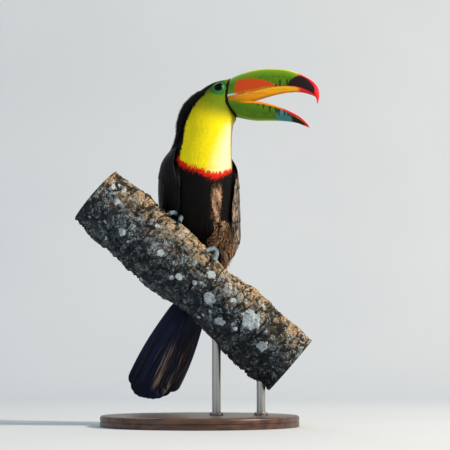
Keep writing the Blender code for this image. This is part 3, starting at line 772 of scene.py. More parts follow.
def plumage_tree():
    """Tufts over a surface: they lie along its 'lie' attribute and scale with its 'size' attribute."""
    tree = bpy.data.node_groups.new("Plumage", "GeometryNodeTree")
    tree.is_modifier = True
    for name, kind in (("Geometry", "Geometry"), ("Tufts", "Collection"), ("Finish", "Material"),
                       ("Spacing", "Float"), ("Length", "Float"), ("Width", "Float"), ("Lift", "Float"),
                       ("Unruliness", "Float"), ("Seed", "Int")):
        tree.interface.new_socket(name, in_out="INPUT", socket_type=f"NodeSocket{kind}")
    tree.interface.new_socket("Geometry", in_out="OUTPUT", socket_type="NodeSocketGeometry")
    given = tree.nodes.new("NodeGroupInput").outputs
    lie, round_it, size, barb, tip = (
        node(tree, "GeometryNodeInputNamedAttribute", name, data_type=kind) for name, kind in (
            ("lie", "FLOAT_VECTOR"), ("round", "FLOAT_VECTOR"), ("size", "FLOAT"), ("barb", "FLOAT"),
            ("tip", "FLOAT")))
    chances = [node(tree, "FunctionNodeRandomValue", low, high, None, seed, data_type="FLOAT")
               for seed, (low, high) in enumerate(((0, 1), (-1, 1), (-1, 1), (0.8, 1.2)), 3)]
    density = node(tree, "DIVIDE", 1.6, node(tree, "POWER", given["Spacing"], 2))
    roots = node(tree, "GeometryNodeDistributePointsOnFaces", given["Geometry"], None, given["Spacing"],
                 density, None, given["Seed"], distribute_method="POISSON")
    marked = node(tree, "GeometryNodeStoreNamedAttribute", roots, None, "chance", chances[0],
                  data_type="FLOAT", domain="POINT")
    yaw = node(tree, "MULTIPLY", chances[1], given["Unruliness"])
    rise = node(tree, "MULTIPLY", node(tree, "MULTIPLY_ADD", chances[2], 0.35, 1), given["Lift"])
    raised = node(tree, XYZ, 0.0, node(tree, "MULTIPLY", rise, -1), yaw)
    tilt = node(tree, "FunctionNodeEulerToRotation", raised)
    flat = node(tree, "FunctionNodeAxesToRotation", roots.outputs["Normal"], lie, primary_axis="Z",
                secondary_axis="X")
    lean = node(tree, "FunctionNodeRotateRotation", flat, tilt, rotation_space="LOCAL")
    reach = node(tree, "MULTIPLY", node(tree, "MULTIPLY", size, chances[3]), given["Length"])
    girth = node(tree, "MULTIPLY", size, given["Width"])
    kinds = node(tree, "GeometryNodeCollectionInfo", given["Tufts"], True, True)
    grown = node(tree, "GeometryNodeInstanceOnPoints", marked, None, kinds, True, None, lean,
                 node(tree, XYZ, reach, girth, reach))
    # Each tuft is a small patch of the bake map, at its root's place round and along the body.
    parts = node(tree, "ShaderNodeSeparateXYZ", round_it).outputs
    across = node(tree, "MULTIPLY_ADD", node(tree, "ARCTAN2", parts["Y"], parts["X"]), 0.46 / math.pi, 0.5)
    along = node(tree, "MULTIPLY_ADD", parts["Z"], 0.92 / 15, 0.1)
    spot = node(tree, XYZ, node(tree, "MULTIPLY_ADD", barb, TUFT_PATCH / 2, across),
                node(tree, "MULTIPLY_ADD", tip, TUFT_PATCH, along))
    whole = node(tree, "GeometryNodeRealizeInstances", grown)
    mapped = node(tree, "GeometryNodeStoreNamedAttribute", whole, None, "OFBake", spot,
                  data_type="FLOAT2", domain="CORNER")
    node(tree, "NodeGroupOutput", node(tree, "GeometryNodeSetMaterial", mapped, None, given["Finish"]))
    return tree


def grow(name, ground, tree, **inputs):
    """A coat piece over this ground, made a plain mesh. The inputs are the tree's, by name."""
    modifier = ground.modifiers.new("Plumage", "NODES")
    modifier.node_group = tree
    for item in tree.interface.items_tree:
        if item.in_out == "INPUT" and item.name in inputs:
            modifier[item.identifier] = inputs[item.name]
    evaluated(ground, inputs["Finish"])
    ground.name = ground.data.name = name
    return ground


def corners_of(mesh):
    """Which point each corner of the faces is."""
    corners = np.empty(len(mesh.loops), int)
    mesh.loops.foreach_get("vertex_index", corners)
    return corners


def read_numbers(mesh, keys, field, width):
    """Numbers that the mesh's points carry, by name."""
    found = {}
    for key in keys:
        values = np.empty(len(mesh.vertices) * width)
        mesh.attributes[key].data.foreach_get(field, values)
        found[key] = values.reshape(-1, width)[:, 0] if width == 1 else values.reshape(-1, width)
    return found


def coat_zones(part, station, away, left):
    """The faces under each coat piece. Part is 0 on the body, 1 on a wing and 2 on a thigh."""
    body, wing = part < 0.5, (part >= 0.5) & (part <= 1.5)
    cheek = body & (station >= 8.2) & (station < 10.2) & (away < 115)
    throat = body & (station >= 5.9) & (station < 8.2) & (away < 108)
    belly = ~wing & (station < 3.6) & (away < 100)
    flank = belly & (left > -0.06) & (away < 60)
    return {"head": body & (station >= 10.2), "cheek": cheek, "throat": throat,
            "nape": body & (station >= 5.9) & (station < 10.2) & ~cheek & ~throat,
            "breast": body & (station < 5.9) & (station >= 3.6) & (away < 100),
            "belly": belly & ~flank, "flank": flank,
            "back": body & (station < 5.9) & (station > 0.9) & (away >= 100),
            "rump": body & (station <= 0.9) & (away >= 100), "shoulder": wing & (station > 4.1),
            "scapular": body & (station >= 5.2) & (station < 6.7) & (away >= 95)}


def coat_grounds(skin):
    """For each coat piece the faces of the skin under it, and what the skin's points carry."""
    corners = corners_of(skin.data).reshape(-1, 4)
    numbers = {**read_numbers(skin.data, ("station", "away", "part", "size"), "value", 1),
               **read_numbers(skin.data, ("lie", "round"), "vector", 3)}
    middle = {key: numbers[key][corners].mean(axis=1) for key in ("part", "station", "away")}
    # No feathers grow round the eyes and under the root of the bill.
    feathered = middle["station"] <= FEATHERS_END
    place = mesh_points(skin)[corners].mean(axis=1)
    for centre, _ in eye_centres().values():
        feathered &= np.linalg.norm(place - centre, axis=1) >= ORBIT_RADIUS
    left = numbers["round"][corners][..., 1].mean(axis=1)
    zones = coat_zones(**middle, left=left)
    return {name: corners[zone & feathered] for name, zone in zones.items()}, numbers


def ground_of(points, corners, numbers, length):
    """These faces of the skin as an object of their own.

    Tufts of this length reach back from their roots, so the markings they carry start further on.
    """
    used, renumbered = np.unique(corners, return_inverse=True)
    at = np.clip(numbers["station"], 0, BILL_STATION - 0.1)
    pace = np.linalg.norm(body_frames(at + 0.1)[0] - body_frames(at)[0], axis=-1) / 0.1
    station = numbers["station"] - 0.7 * length * numbers["size"] / np.maximum(pace, 3)
    return made("ground", points[used], renumbered.reshape(-1, 4).tolist(), outward=False,
                numbers={key: values[used] for key, values in {**numbers, "station": station}.items()})


def make_plumage():
    skin = bpy.data.objects["skin"]
    tree, finish = plumage_tree(), plumage_material("Contour feathers")
    kinds = {"lance": [tuft(f"lance_{blades}", blades, spread, half)
                       for blades, spread, half in ((3, 17, 0.17), (4, 15, 0.13), (5, 19, 0.11))],
             "scale": [scale_feather("scale_feather")]}
    for kind, feathers in kinds.items():
        kinds[kind] = bpy.data.collections.new(kind)
        for piece in feathers:
            bpy.context.scene.collection.objects.unlink(piece)
            kinds[kind].objects.link(piece)
    sizes = bpy.context.scene.toucan_sizes
    apart = sizes.tuft_spacing * 1
    zones, numbers = coat_grounds(skin)
    points = mesh_points(skin)
    for seed, (name, (kind, spacing, length, width, lift, unruliness)) in enumerate(COATS.items(), 1):
        length *= sizes.tuft_length
        piece = grow(f"plumage_{name}", ground_of(points, zones[name], numbers, length), tree,
                     Tufts=kinds[kind], Finish=finish, Seed=seed, Spacing=spacing * apart * MM,
                     Length=length * MM, Width=width * MM, Lift=math.radians(lift),
                     Unruliness=math.radians(unruliness))
        finish_piece(piece, slot="black_feather")
    for collection in kinds.values():
        for piece in list(collection.objects):
            bpy.data.objects.remove(piece)
        bpy.data.collections.remove(collection)


# ---- wing and tail feathers ----

def vane(place, half, share, rows=18, columns=5, thick=0.4):
    """A closed feather: place(t, aside, lift) gives points along t and aside of its shaft in mm, and
    half(t) is half its width. Returns its share, rings, and how far along and aside each point is."""
    t, u = grid(np.sin(np.linspace(0, 1, rows) * np.pi / 2), np.linspace(-1, 1, columns))
    shaft = 0.35 * (1 - np.abs(u)) ** 2
    aside = u * half(t)
    both_faces = [(place(t, aside, shaft), place(t, aside, shaft - thick)), (t, t), (u, u)]
    return share, *(np.concatenate((upper, lower[:, ::-1]), axis=1) for upper, lower in both_faces)


def feather_piece(name, vanes, surface, seed):
    """Many feathers as one piece, each with a shade of its own and its own place on the bake map."""
    parts, patches, numbers = [], [], {"tip": [], "barb": [], "chance": [], "order": []}
    luck = np.random.default_rng(seed)
    for index, (share, rings, t, u) in enumerate(vanes):
        parts.append(closed_loft(rings))
        t, u = t.ravel(), u.ravel()
        for key, value in zip(numbers, (t, u, luck.random(), share)):
            numbers[key].append(np.full(t.size, value, float))
        row, column = divmod(index, PATCHES)
        patches.append(np.stack((0.02 + (column + 0.45 + 0.4 * u) / (PATCHES + 0.3),
                                 0.02 + (row + 0.05 + 0.85 * t) / (PATCHES + 0.3)), -1))
    points, faces = joined(parts)
    piece = made(name, points, faces, surface,
                 {key: np.concatenate(rows) for key, rows in numbers.items()})
    spots = np.concatenate(patches)[corners_of(piece.data)]
    piece.data.uv_layers.new(name="OFBake").data.foreach_set("uv", spots.ravel())
    return piece


def flight_width(wide, tip_share=0.25):
    """Half the width along a feather: narrow at its root, full, and rounded off at its end."""
    def half(t):
        root = 0.45 + 0.55 * eased(t, 0, 0.3)
        end = np.sqrt(np.clip(1 - (np.maximum(t - 1 + tip_share, 0) / tip_share) ** 2.2, 0.001, 1))
        return wide / 2 * root * end
    return half


def scapular_vane(side, row):
    """A broad feather from under the nape's tufts down over the top of the wing, which it rounds off."""
    def place(t, aside, lift):
        at = 6.6 - 1.9 * t
        part = (at - WING_TOP) / (WING_FOOT - WING_TOP)
        held = np.maximum(part, 0.12)
        front, hind = wing_edges(held)
        angle = 101 + 7.5 * row - (42 - 5 * row) * t ** 1.2 + np.degrees(aside / 42)
        across = (angle - front) / (hind - front)
        over = WING_LIFT + wing_surface(held, across, sunk=-0.7) + 0.1 * row
        rise = np.sin(np.pi / 2 * np.clip((part + 0.17) / 0.25, 0, 1))
        return body_points(at, side * np.radians(angle), mixed(-2.6, over, rise) + lift)
    return vane(place, flight_width(15, tip_share=0.35), 0.1 + 0.16 * row)


def wing_vane(side, start, end, wide, sunk, layer):
    """A feather laid over the folded wing, from one (part, across) to another."""
    ahead = LEFT_WING_FORWARD if side > 0 else 0

    def place(t, aside, lift):
        part = start[0] + (end[0] - start[0]) * t
        across = start[1] + (end[1] - start[1]) * t ** 1.3 - ahead * np.sin(np.pi * np.clip(part, 0, 1))
        step = wing_points(side, part, across + 0.01) - wing_points(side, part, across)
        shifted = across + aside * 0.01 / np.maximum(np.linalg.norm(step, axis=-1), 0.05)
        height = wing_surface(part, shifted, sunk) + layer + lift + 0.09 * aside
        return wing_points(side, part, shifted, height)
    return vane(place, flight_width(wide), start[1])


def make_wings():
    for name, side in SIDES.items():
        finish = flight_material(f"Flight feathers, {name}", 0.12, WING_SUNLIGHT[name])
        vanes = [wing_vane(side, (root, root_across + root_step * k),
                           (end + end_step * k, across + step * k), wide, sunk, rise * k)
                 for (count, root, root_across, root_step, end, end_step, across, step, wide, sunk,
                      rise) in WING_ROWS for k in range(count)]
        vanes += [scapular_vane(side, k) for k in range(SCAPULARS)]
        finish_piece(feather_piece(f"wing_feathers_{name}", vanes, finish, 5), f"wing_{name}",
                     slot="black_feather")


def make_tail():
    along, left, under = tail_axes()
    length = np.linalg.norm(TAIL_TIP - TAIL_ROOT)
    vanes = []
    for feather in range(TAIL_FEATHERS):
        middle = 2 * (feather + 0.5) / TAIL_FEATHERS - 1

        def place(t, aside, lift, middle=middle):
            reach = length * (1 - TAIL_ROUNDING * abs(middle) ** 3 - TAIL_SKEW * middle)
            spread = np.sin(np.pi / 2 * np.minimum(t / TAIL_WIDEST, 1)) ** 1.2
            half = TAIL_ROOT_WIDTH + (TAIL_WIDTH - TAIL_ROOT_WIDTH) * spread - 7.6
            across = half * middle + aside
            arch = TAIL_ARCH * (1 - (across / TAIL_WIDTH) ** 2) * t
            layer = 2.2 * abs(middle + 0.04) - 1.1 - lift + 0.05 * aside * (1 if middle > 0 else -1)
            return (TAIL_ROOT + along * (reach * t)[..., None] + left * across[..., None]
                    + under * (layer - arch)[..., None])
        vanes.append(vane(place, flight_width(24 if abs(middle) > 0.8 else 19, tip_share=0.09),
                          feather / (TAIL_FEATHERS - 1), rows=40, columns=11))
    finish = flight_material("Tail feathers", 0.95, TAIL_SUNLIGHT)
    finish_piece(feather_piece("tail_feathers", vanes, finish, 9), "tail", slot="black_feather")


def flight_material(name, gloss, painted_sunlight):
    """Closed vane of hard keratin barbs: black with a painted low blue sheen and a darker shaft, ruled by
    the barbs, and with worn brown streaks at its edges. Painted sunlight in brown and pale streaks comes in
    from one place in the feathers' order to another, and from one place along them to another, up to a
    share."""
    finish, tree, hues = new_material(name, roughness=0.5, Specular_IOR_Level=0.16)
    away = node(tree, "ABSOLUTE", "barb")
    slanted = node(tree, "MULTIPLY_ADD", away, -0.12, "tip")
    barbs = node(tree, "SINE", node(tree, "MULTIPLY", slanted, 420.0))
    # Streaks are noise drawn out along the feather.
    ruled = node(tree, XYZ, *(node(tree, "MULTIPLY", key, times)
                              for key, times in (("tip", 5.0), ("barb", 7.0), ("chance", 40.0))))
    streak = node(tree, NOISE, ruled, 1.0, 3.0)
    sheen = node(tree, "MULTIPLY_ADD", "chance", 0.5, node(tree, "MULTIPLY", streak, 0.6))
    # Painted sunlight in brown and pale streaks.
    first, last, start, full, most = painted_sunlight
    sunned = mask(tree, ("order", first, last), ("tip", start, full, 0, most), ("tip", 0.96, 0.86),
                  ("order", 0.85, 0.75, 0.1, 1))
    colour = painted(tree, hues.black, (hues.flight_sheen, (sheen, 0.3, 0.9, 0, gloss)),
                     (hues.flight_worn_and_sunlit_brown, (streak, 0.55, 0.7, 0, 0.5), (away, 0.5, 1.0)),
                     (hues.flight_worn_and_sunlit_brown, sunned, (streak, 0.42, 0.49)),
                     (hues.flight_sunlit_pale, sunned, (streak, 0.49, 0.58)),
                     (hues.black, (away, 0.1, 0.03, 0, 0.8)))
    relief = node(tree, "MULTIPLY_ADD", streak, 1.5, barbs)
    return dressed(finish, colour, relief, depth=0.08, strength=0.7)


# ---- bill ----

def teeth_of(forward, height, last):
    """Saw teeth along a cutting edge, from behind the root of the bill to short of its tip."""
    along = eased(forward, 14, 24) * eased(-forward, -last, 8 - last)
    return height * np.abs(np.sin(forward * np.pi / TOOTH_PITCH)) * along


def upper_rings(at, sides=22):
    """Rings of the upper bill at places along it, with how far ahead and how far round each point is,
    and if it is inside."""
    top_x, top_z, low_x, low_z, width = np.moveaxis(curve(UPPER_BILL, at)[:, None], -1, 0)
    part = np.linspace(0, 1, sides)
    bulge = RIDGE_WIDTH + (1 - RIDGE_WIDTH) * np.sin(part * np.pi / 2) ** CHEEK_ROUND
    bulge[0] = 0.07
    forward = top_x + (low_x - top_x) * part
    teeth = teeth_of(forward, height=0.42, last=104) * eased(part, 0.9, 1.0)
    up = top_z + (low_z - top_z) * part ** CHEEK_DROP + teeth
    up[:, 0] += 0.25
    # The horn starts as a low rim round the feathers.
    rim = 0.5 * (1 - eased(forward, 1.4, 2.8))
    across = np.linspace(-0.8, 0.8, 9)
    rise = (top_z - low_z) * PALATE_RISE * (1 - across ** 2) ** 0.7
    half = [head_points(forward, side * (width * bulge + rim), up + rim * (1 - part)) for side in (-1, 1)]
    palate = head_points(low_x, width * across * 0.96, low_z + rise)
    rows = {"ahead": (forward, low_x, forward[:, ::-1]), "down": (part, 1, part[::-1]),
            "inside": (0, 1, 0)}
    return np.concatenate((half[0], palate, half[1][:, ::-1]), axis=1), spread_out(rows, up, rise, up)


def lower_rings(at, sides=22):
    top_x, top_z, low_x, low_z, width = np.moveaxis(curve(LOWER_BILL, at)[:, None], -1, 0)
    turn = np.linspace(0, np.pi, 2 * sides - 1)
    side, down = np.cos(turn), np.sin(turn) ** KEEL_ROUND
    forward = top_x + (low_x - top_x) * down
    teeth = teeth_of(forward, height=0.4, last=96) * eased(1 - down, 0.9, 1.0)
    up = top_z + (low_z - top_z) * down - teeth
    rim = 0.5 * (1 - eased(forward, 0.4, 1.8))
    outer = head_points(forward, width * side + rim * side, up - rim * down)
    across = np.linspace(-0.85, 0.85, 13)
    dip = (top_z - low_z) * TROUGH_DEPTH * (1 - across ** 2)
    trough = head_points(top_x, width * across, top_z - dip)
    rows = {"ahead": (forward, top_x), "down": (np.minimum(turn, np.pi - turn) / (np.pi / 2), 0),
            "inside": (0, 1)}
    return np.concatenate((outer, trough), axis=1), spread_out(rows, up, dip)


def spread_out(rows, *like):
    """Each row's values spread over blocks of these shapes, side by side, by name."""
    return {key: np.concatenate([value + np.zeros_like(block) for value, block in zip(values, like)],
                                axis=1).ravel() for key, values in rows.items()}


def make_bill():
    feathers = BVHTree.FromObject(bpy.data.objects["skin"], bpy.context.evaluated_depsgraph_get())
    reach = 8 * MM
    for name, rings_at, table, colours in (("upper", upper_rings, UPPER_BILL, upper_bill_colours),
                                           ("lower", lower_rings, LOWER_BILL, lower_bill_colours)):
        rings, numbers = rings_at(np.linspace(0, len(table) - 1, 170))
        points, faces = closed_loft(rings)
        gaps = [feathers.find_nearest(point, reach)[3] or reach for point in points * MM]
        numbers["root"] = np.array(gaps) / MM
        finish = bill_material(f"{name.title()} bill horn", colours)
        finish_piece(made(f"bill_{name}_horn", points, faces, finish, numbers), f"bill_{name}",
                     slot="bill_green")


def bill_material(name, colours):
    """Horn, a smooth laminated keratin with a soft wax-like gloss. The edges of its colours are a little
    ragged."""
    finish, tree, hues = new_material(name, roughness=0.42, Specular_IOR_Level=0.2, Coat_Weight=0.02,
                                      Coat_Roughness=0.3)
    blur = node(tree, "SUBTRACT", node(tree, NOISE, "place", per_mm(2.2), 3), 0.5)
    ahead = node(tree, "MULTIPLY_ADD", blur, 2.0, "ahead")
    down = node(tree, "MULTIPLY_ADD", blur, 0.07, "down")
    grain = node(tree, NOISE, "place", per_mm(1.6), 4)
    return dressed(finish, colours(tree, hues, ahead, down), grain, depth=0.06, strength=0.5)


def below(tree, ahead, down, points, turned_round=False):
    """How far a place is below a line along the bill, or above it if turned round. The line's points are
    (mm ahead of the gape, share of the way down)."""
    part = node(tree, RANGE, ahead, -5.0, 120.0)
    line = node(tree, CURVE, 1.0, part, points=[((mm + 5) / 125, value) for mm, value in points])
    return node(tree, "SUBTRACT", line, down) if turned_round else node(tree, "SUBTRACT", down, line)


def upper_bill_colours(tree, hues, ahead, down):
    # The orange leaf lies between two lines along the cheek.
    leaf = below(tree, ahead, down, ((-5, 1), (8, 1), (10.6, 0.72), (12, 0.42), (20, 0.41), (30, 0.48),
                                     (39, 0.55), (49, 0.66), (58, 0.82), (64, 0.93), (70, 1), (120, 1)))
    patch = below(tree, ahead, down, ((-5, 0), (74, 0), (77, 0.82), (79, 0.62), (82, 0.52), (87, 0.28),
                                      (93, 0.1), (98, 0.08), (104, 0.16), (110, 0.3), (116, 0.9), (120, 1)))
    # Dark streaks stand up from the cutting edge like the shadows of teeth, each to its own height.
    teeth = below(tree, ahead, down, ((-5, 1), (58, 1), (61, 0.95), (62.5, 0.82), (64.5, 0.97), (66, 0.7),
                                      (67.6, 0.62), (69, 0.9), (70.5, 0.97), (72, 0.8), (73.4, 0.94),
                                      (75, 0.66), (76.4, 0.6), (78, 0.86), (80, 1), (120, 1)))
    red = ahead, 86, 92
    drawn = node(tree, MAPPING, "place", None, None, (0.1, 1.0, 1.0))
    lining = painted(tree, hues.palate, (hues.bill_tomium, (node(tree, NOISE, drawn, per_mm(3), 4),
                                                            0.53, 0.68, 0, 0.6)),
                     (hues.bill_brown, (node(tree, NOISE, drawn, per_mm(1.8), 3), 0.58, 0.68, 0, 0.55),
                      (ahead, 60, 40)), (hues.bill_red, red))
    return painted(tree, hues.bill_green,
                   (hues.bill_dark_green, (node(tree, NOISE, "place", per_mm(3.5), 5), 0.35, 0.7, 0, 0.7)),
                   (hues.bill_lime, (down, 0.5, 0.1, 0, 0.75)),
                   (hues.bill_yellow, (down, 0.16, 0.03), (ahead, 5, 24)),
                   (hues.bill_orange, (leaf, -0.01, 0.02), (down, 0.95, 0.9), (ahead, 9.6, 11.4)),
                   (hues.bill_tomium, (down, 0.9, 0.965)),
                   (hues.bill_brown, (down, 0.9, 0.93), (ahead, 78, 66), (ahead, 8, 16),
                    (node(tree, NOISE, "place", per_mm(2.6), 3), 0.4, 0.6, 0.25, 0.85)),
                   (hues.bill_pale, (down, 0.9, 0.95), (ahead, 14, 8)),
                   (hues.bill_streak, (teeth, -0.01, 0.06, 0, 0.9), (down, 0.995, 0.985)),
                   (hues.bill_red, red), (hues.bill_maroon, (patch, -0.02, 0.06), (ahead, 75.8, 78.5)),
                   (hues.bill_red, (down, 0.93, 0.98), (ahead, 74, 86)),
                   (hues.bill_red, (ahead, 109.2, 111.5)), (hues.black, ("root", 3.5, 3.0)),
                   (lining, "inside"))


def lower_bill_colours(tree, hues, ahead, down):
    # Dark wedges hang down from the cutting edge, broad at their tops, each of its own length.
    wedges = below(tree, ahead, down, ((-5, 0), (36, 0), (39, 0.1), (40.5, 0.16), (42, 0.02), (45.5, 0.04),
                                       (47.4, 0.26), (49, 0.05), (53, 0.03), (55, 0.42), (56.5, 0.12),
                                       (60, 0.04), (63, 0.4), (65, 0.3), (66.5, 0.5), (68.5, 0.08),
                                       (72, 0.1), (73.5, 0.48), (75.5, 0.14), (78, 0.4), (80, 0.3),
                                       (84, 0.6), (90, 0), (120, 0)), turned_round=True)
    return painted(tree, hues.bill_green,
                   (hues.bill_dark_green, (node(tree, NOISE, "place", per_mm(6), 4), 0.35, 0.7, 0, 0.5)),
                   (hues.bill_lime, (down, 0.72, 0.95, 0, 0.8)),
                   (hues.bill_teal, (ahead, 60, 68), (ahead, 86, 80),
                    (node(tree, NOISE, "place", per_mm(5), 3), 0.3, 0.5, 0.45, 1)),
                   (hues.bill_streak, (wedges, -0.02, 0.06, 0, 0.92), (ahead, 36, 38)),
                   (hues.bill_tomium, (down, 0.075, 0.04), (ahead, 14, 30)),
                   (hues.bill_maroon, (ahead, 81, 85), (ahead, 101, 98), (down, 0.2, 0.28)),
                   (hues.bill_red, (down, node(tree, RANGE, ahead, 70, 100, 0.1, 0.4), 0.02),
                    (ahead, 66, 74)),
                   (hues.bill_red, (ahead, 98, 100)), (hues.bill_pale, (ahead, 102.5, 104.5)),
                   (hues.black, ("root", 4.3, 3.8)), (hues.black, (down, 0.93, 0.98), (ahead, 30, 24)),
                   (hues.palate, "inside"))


def make_tongue():
    """A long flat tongue with a frayed edge, lying over the trough of the lower bill."""
    t = np.linspace(0, 1, 40)
    forward = 5 + 70 * t
    ahead, top, _, foot, width = np.array(LOWER_BILL, float).T
    floor = np.interp(forward, ahead, top - (top - foot) * TROUGH_DEPTH)
    half = np.minimum(5 * (1 - 0.75 * t ** 1.5), np.interp(forward, ahead, width) * 0.6)
    half = half * (1 + 0.06 * np.sin(forward * 2.4))
    thick = 1.6 * (1 - 0.5 * t)
    turn = circle(20)
    up = floor[:, None] + 1.4 + thick[:, None] * (0.5 + 0.5 * np.sin(turn)) + 0.4 * np.cos(turn) ** 2
    points, faces = closed_loft(head_points(forward[:, None], half[:, None] * np.cos(turn), up))
    finish, tree, hues = new_material("Tongue, moist flesh", roughness=0.35, Subsurface_Weight=0.1)
    mottles = node(tree, NOISE, "place", per_mm(2), 3)
    colour = painted(tree, hues.flesh, (hues.palate, (mottles, 0.4, 0.7, 0, 0.5)))
    dressed(finish, colour, node(tree, NOISE, "place", per_mm(0.8), 3), depth=0.1)
    finish_piece(made("tongue_flesh", points, faces, finish), "tongue", slot="tongue_flesh")


# ---- eyes ----

def eye_ball(name, centre, normal, out, finish):
    """A glass ball, swelled a little where it looks, with how far each point is from its axis."""
    polar = np.linspace(0.02, np.pi - 0.02, 40)[:, None]
    reach = EYE_RADIUS + 0.45 * np.exp(-(polar / 0.55) ** 2)
    rings = centre + normal * (np.cos(polar) * reach)[..., None] + out * (np.sin(polar) * reach)[..., None]
    behind = 9 * (polar > np.pi / 2)
    opening = np.broadcast_to(np.sin(polar) * EYE_RADIUS + behind, rings.shape[:2])
    points, faces = closed_loft(rings)
    return made(name, points, faces, finish, {"opening": opening.ravel()})


def orbit(name, centre, normal, out, surface, finish):
    """Bare skin round the eye: a lid, then rings of fine folds down to the feathers."""
    ahead = np.array((math.sin(HEAD_YAW), -math.cos(HEAD_YAW), 0))
    reaches = np.concatenate((np.linspace(5.15, 7.2, 12), np.linspace(7.5, ORBIT_RADIUS + 1.2, 12)))
    rings = np.empty((len(reaches), EYE_SIDES, 3))
    for row, reach in enumerate(reaches):
        lifted = 0.5 - 1.9 * eased(reach, 8.8, 11.2) + sum(
            height * np.exp(-((reach - place) / width) ** 2)
            for height, place, width in ((1.1, 5.4, 0.7), (0.4, 7.3, 0.5), (0.3, 8.9, 0.5)))
        for index, way in enumerate(out):
            toward = max(way @ ahead, 0) * eased(reach, 7.4, 11)
            spot = centre + way * (reach - 2.2 * toward)
            start = Vector(((spot + normal * 30) * MM).tolist())
            hit = surface.ray_cast(start, Vector((-normal).tolist()))[0]
            flat = np.array(hit) / MM if hit is not None else spot
            grain = 0.16 * math.sin(index * math.pi + reach * 3) * eased(reach, 5.6, 6.6)
            rings[row, index] = flat + normal * (lifted + grain)
    rings = np.concatenate((rings, rings[::-1] - normal * 1.6))
    faces = quads(len(rings), EYE_SIDES, wrap=True)
    last = (len(rings) - 1) * EYE_SIDES
    faces += [(last + side, last + (side + 1) % EYE_SIDES, (side + 1) % EYE_SIDES, side)
              for side in range(EYE_SIDES)]
    numbers = {"reach": np.repeat(np.concatenate((reaches, reaches[::-1])), EYE_SIDES)}
    return made(name, rings.reshape(-1, 3), faces, finish, numbers)


def make_eyes():
    surface = BVHTree.FromObject(bpy.data.objects["skin"], bpy.context.evaluated_depsgraph_get())
    glass, bare_skin = eye_material(), orbit_material()
    turn = circle(EYE_SIDES)[:, None]
    for name, (centre, normal) in eye_centres().items():
        across = unit(np.cross(normal, np.array((0, 0, 1.0))))
        out = across * np.cos(turn) + np.cross(across, normal) * np.sin(turn)
        finish_piece(eye_ball(f"eye_ball_{name}", centre, normal, out, glass), f"eye_{name}",
                     slot="eye_dark")
        finish_piece(orbit(f"orbit_skin_{name}", centre, normal, out, surface, bare_skin),
                     slot="head_skin")


def eye_material():
    """A glass eye: dark brown iris round a black pupil, under a clear wet cornea."""
    finish, tree, hues = new_material("Cornea and iris", roughness=0.05, Specular_IOR_Level=0.09)
    fibres = node(tree, NOISE, "place", per_mm(0.6), 2)
    colour = painted(tree, hues.pupil, (hues.iris, ("opening", 2.6, 3.0), ("opening", 5.2, 4.8),
                                        (fibres, 0.3, 0.7, 0.3, 1.0)))
    return dressed(finish, colour)


def orbit_material():
    """Bare skin round the eye: fine grained and slightly moist, emerald, with a paler lid."""
    finish, tree, hues = new_material("Bare orbital skin", roughness=0.5)
    grain = node(tree, NOISE, "place", per_mm(0.7), 3)
    colour = painted(tree, hues.orbit, (hues.lid, ("reach", 5.4, 5.7), ("reach", 6.8, 6.2)),
                     (hues.face, ("reach", 8.6, 11.0)), (hues.pupil, ("reach", 5.5, 5.2)),
                     (hues.bill_dark_green, (grain, 0.45, 0.75, 0, 0.4)))
    return dressed(finish, colour, grain, depth=0.25)


# ---- feet ----

def toe_line(foot, spread, length, reaches):
    """Down the branch, angle round it and height over the bark, for places along a toe."""
    down, angle = foot
    turned_by = math.radians(angle) + reaches * math.cos(spread) / (PERCH_RADIUS - 1 + TOE_RADIUS)
    part = np.minimum(reaches / length, 1)
    radius = TOE_RADIUS * (1 - TOE_TAPER * part)
    return (down + reaches * math.sin(spread), turned_by,
            radius + BARK_CLEARANCE + TOE_ARCH * np.sin(np.pi * part), radius)


def make_feet():
    scale, horny = foot_material(), claw_material()
    for side in FEET:
        base, heel = leg_line(side)
        ahead = unit(heel - base)
        part = np.linspace(0, 1, 26)
        shank = (base - ahead * 2) + (heel + ahead * 7 - base) * part[:, None]
        ridges = 0.16 * np.abs(np.sin(part * np.pi * 6.5))
        shapes = [closed_loft(tube(shank, TARSUS_RADIUS * (1 - 0.12 * part) + ridges - 0.1))]
        claws = []
        for spread, length in zip(TOE_SPREAD, TOE_LENGTHS):
            spread = math.radians(spread * SIDES[side])
            reaches = np.linspace(0, length, 44)
            down, angle, height, radius = toe_line(FEET[side], spread, length, reaches)
            pads = 0.24 * np.abs(np.sin(reaches * np.pi / 4.4)) - 0.1
            toe = perch_points(down, angle, height)
            shapes.append(closed_loft(tube(toe, radius + pads)))
            claws.append(claw(FEET[side], spread, length, toe))
        finish_piece(remeshed(f"foot_{side}", shapes, size=0.42, rounds=2, surface=scale),
                     f"leg_{side}", slot="foot_scale")
        points, faces = joined(claws)
        tips = np.tile(np.repeat(np.linspace(0, 1, CLAW_RINGS), CLAW_SIDES), len(claws))
        finish_piece(made(f"claws_{side}", points, faces, horny, {"tip": tips}),
                     *[f"claw_{side}_{toe}" for toe in range(1, 5)], slot="claw_horn")


def claw(foot, spread, length, toe):
    """A curved claw from the end of a toe down to the bark."""
    ahead = unit(toe[-1] - toe[-2])
    down, angle, _, _ = toe_line(foot, spread, length, np.array(length + CLAW_LENGTH))
    tip = perch_points(down, angle, 2 * BARK_CLEARANCE)
    root = toe[-1] - ahead * 0.8
    middle = (root + tip) / 2 + (perch_points(down, angle, 9) - tip) * 0.34
    part = np.linspace(0, 1, CLAW_RINGS)[:, None]
    line = root * (1 - part) ** 2 + middle * 2 * part * (1 - part) + tip * part ** 2
    return closed_loft(tube(line, (CLAW_RADIUS * (1 - part ** 1.2) + CLAW_TIP)[:, 0], sides=CLAW_SIDES))


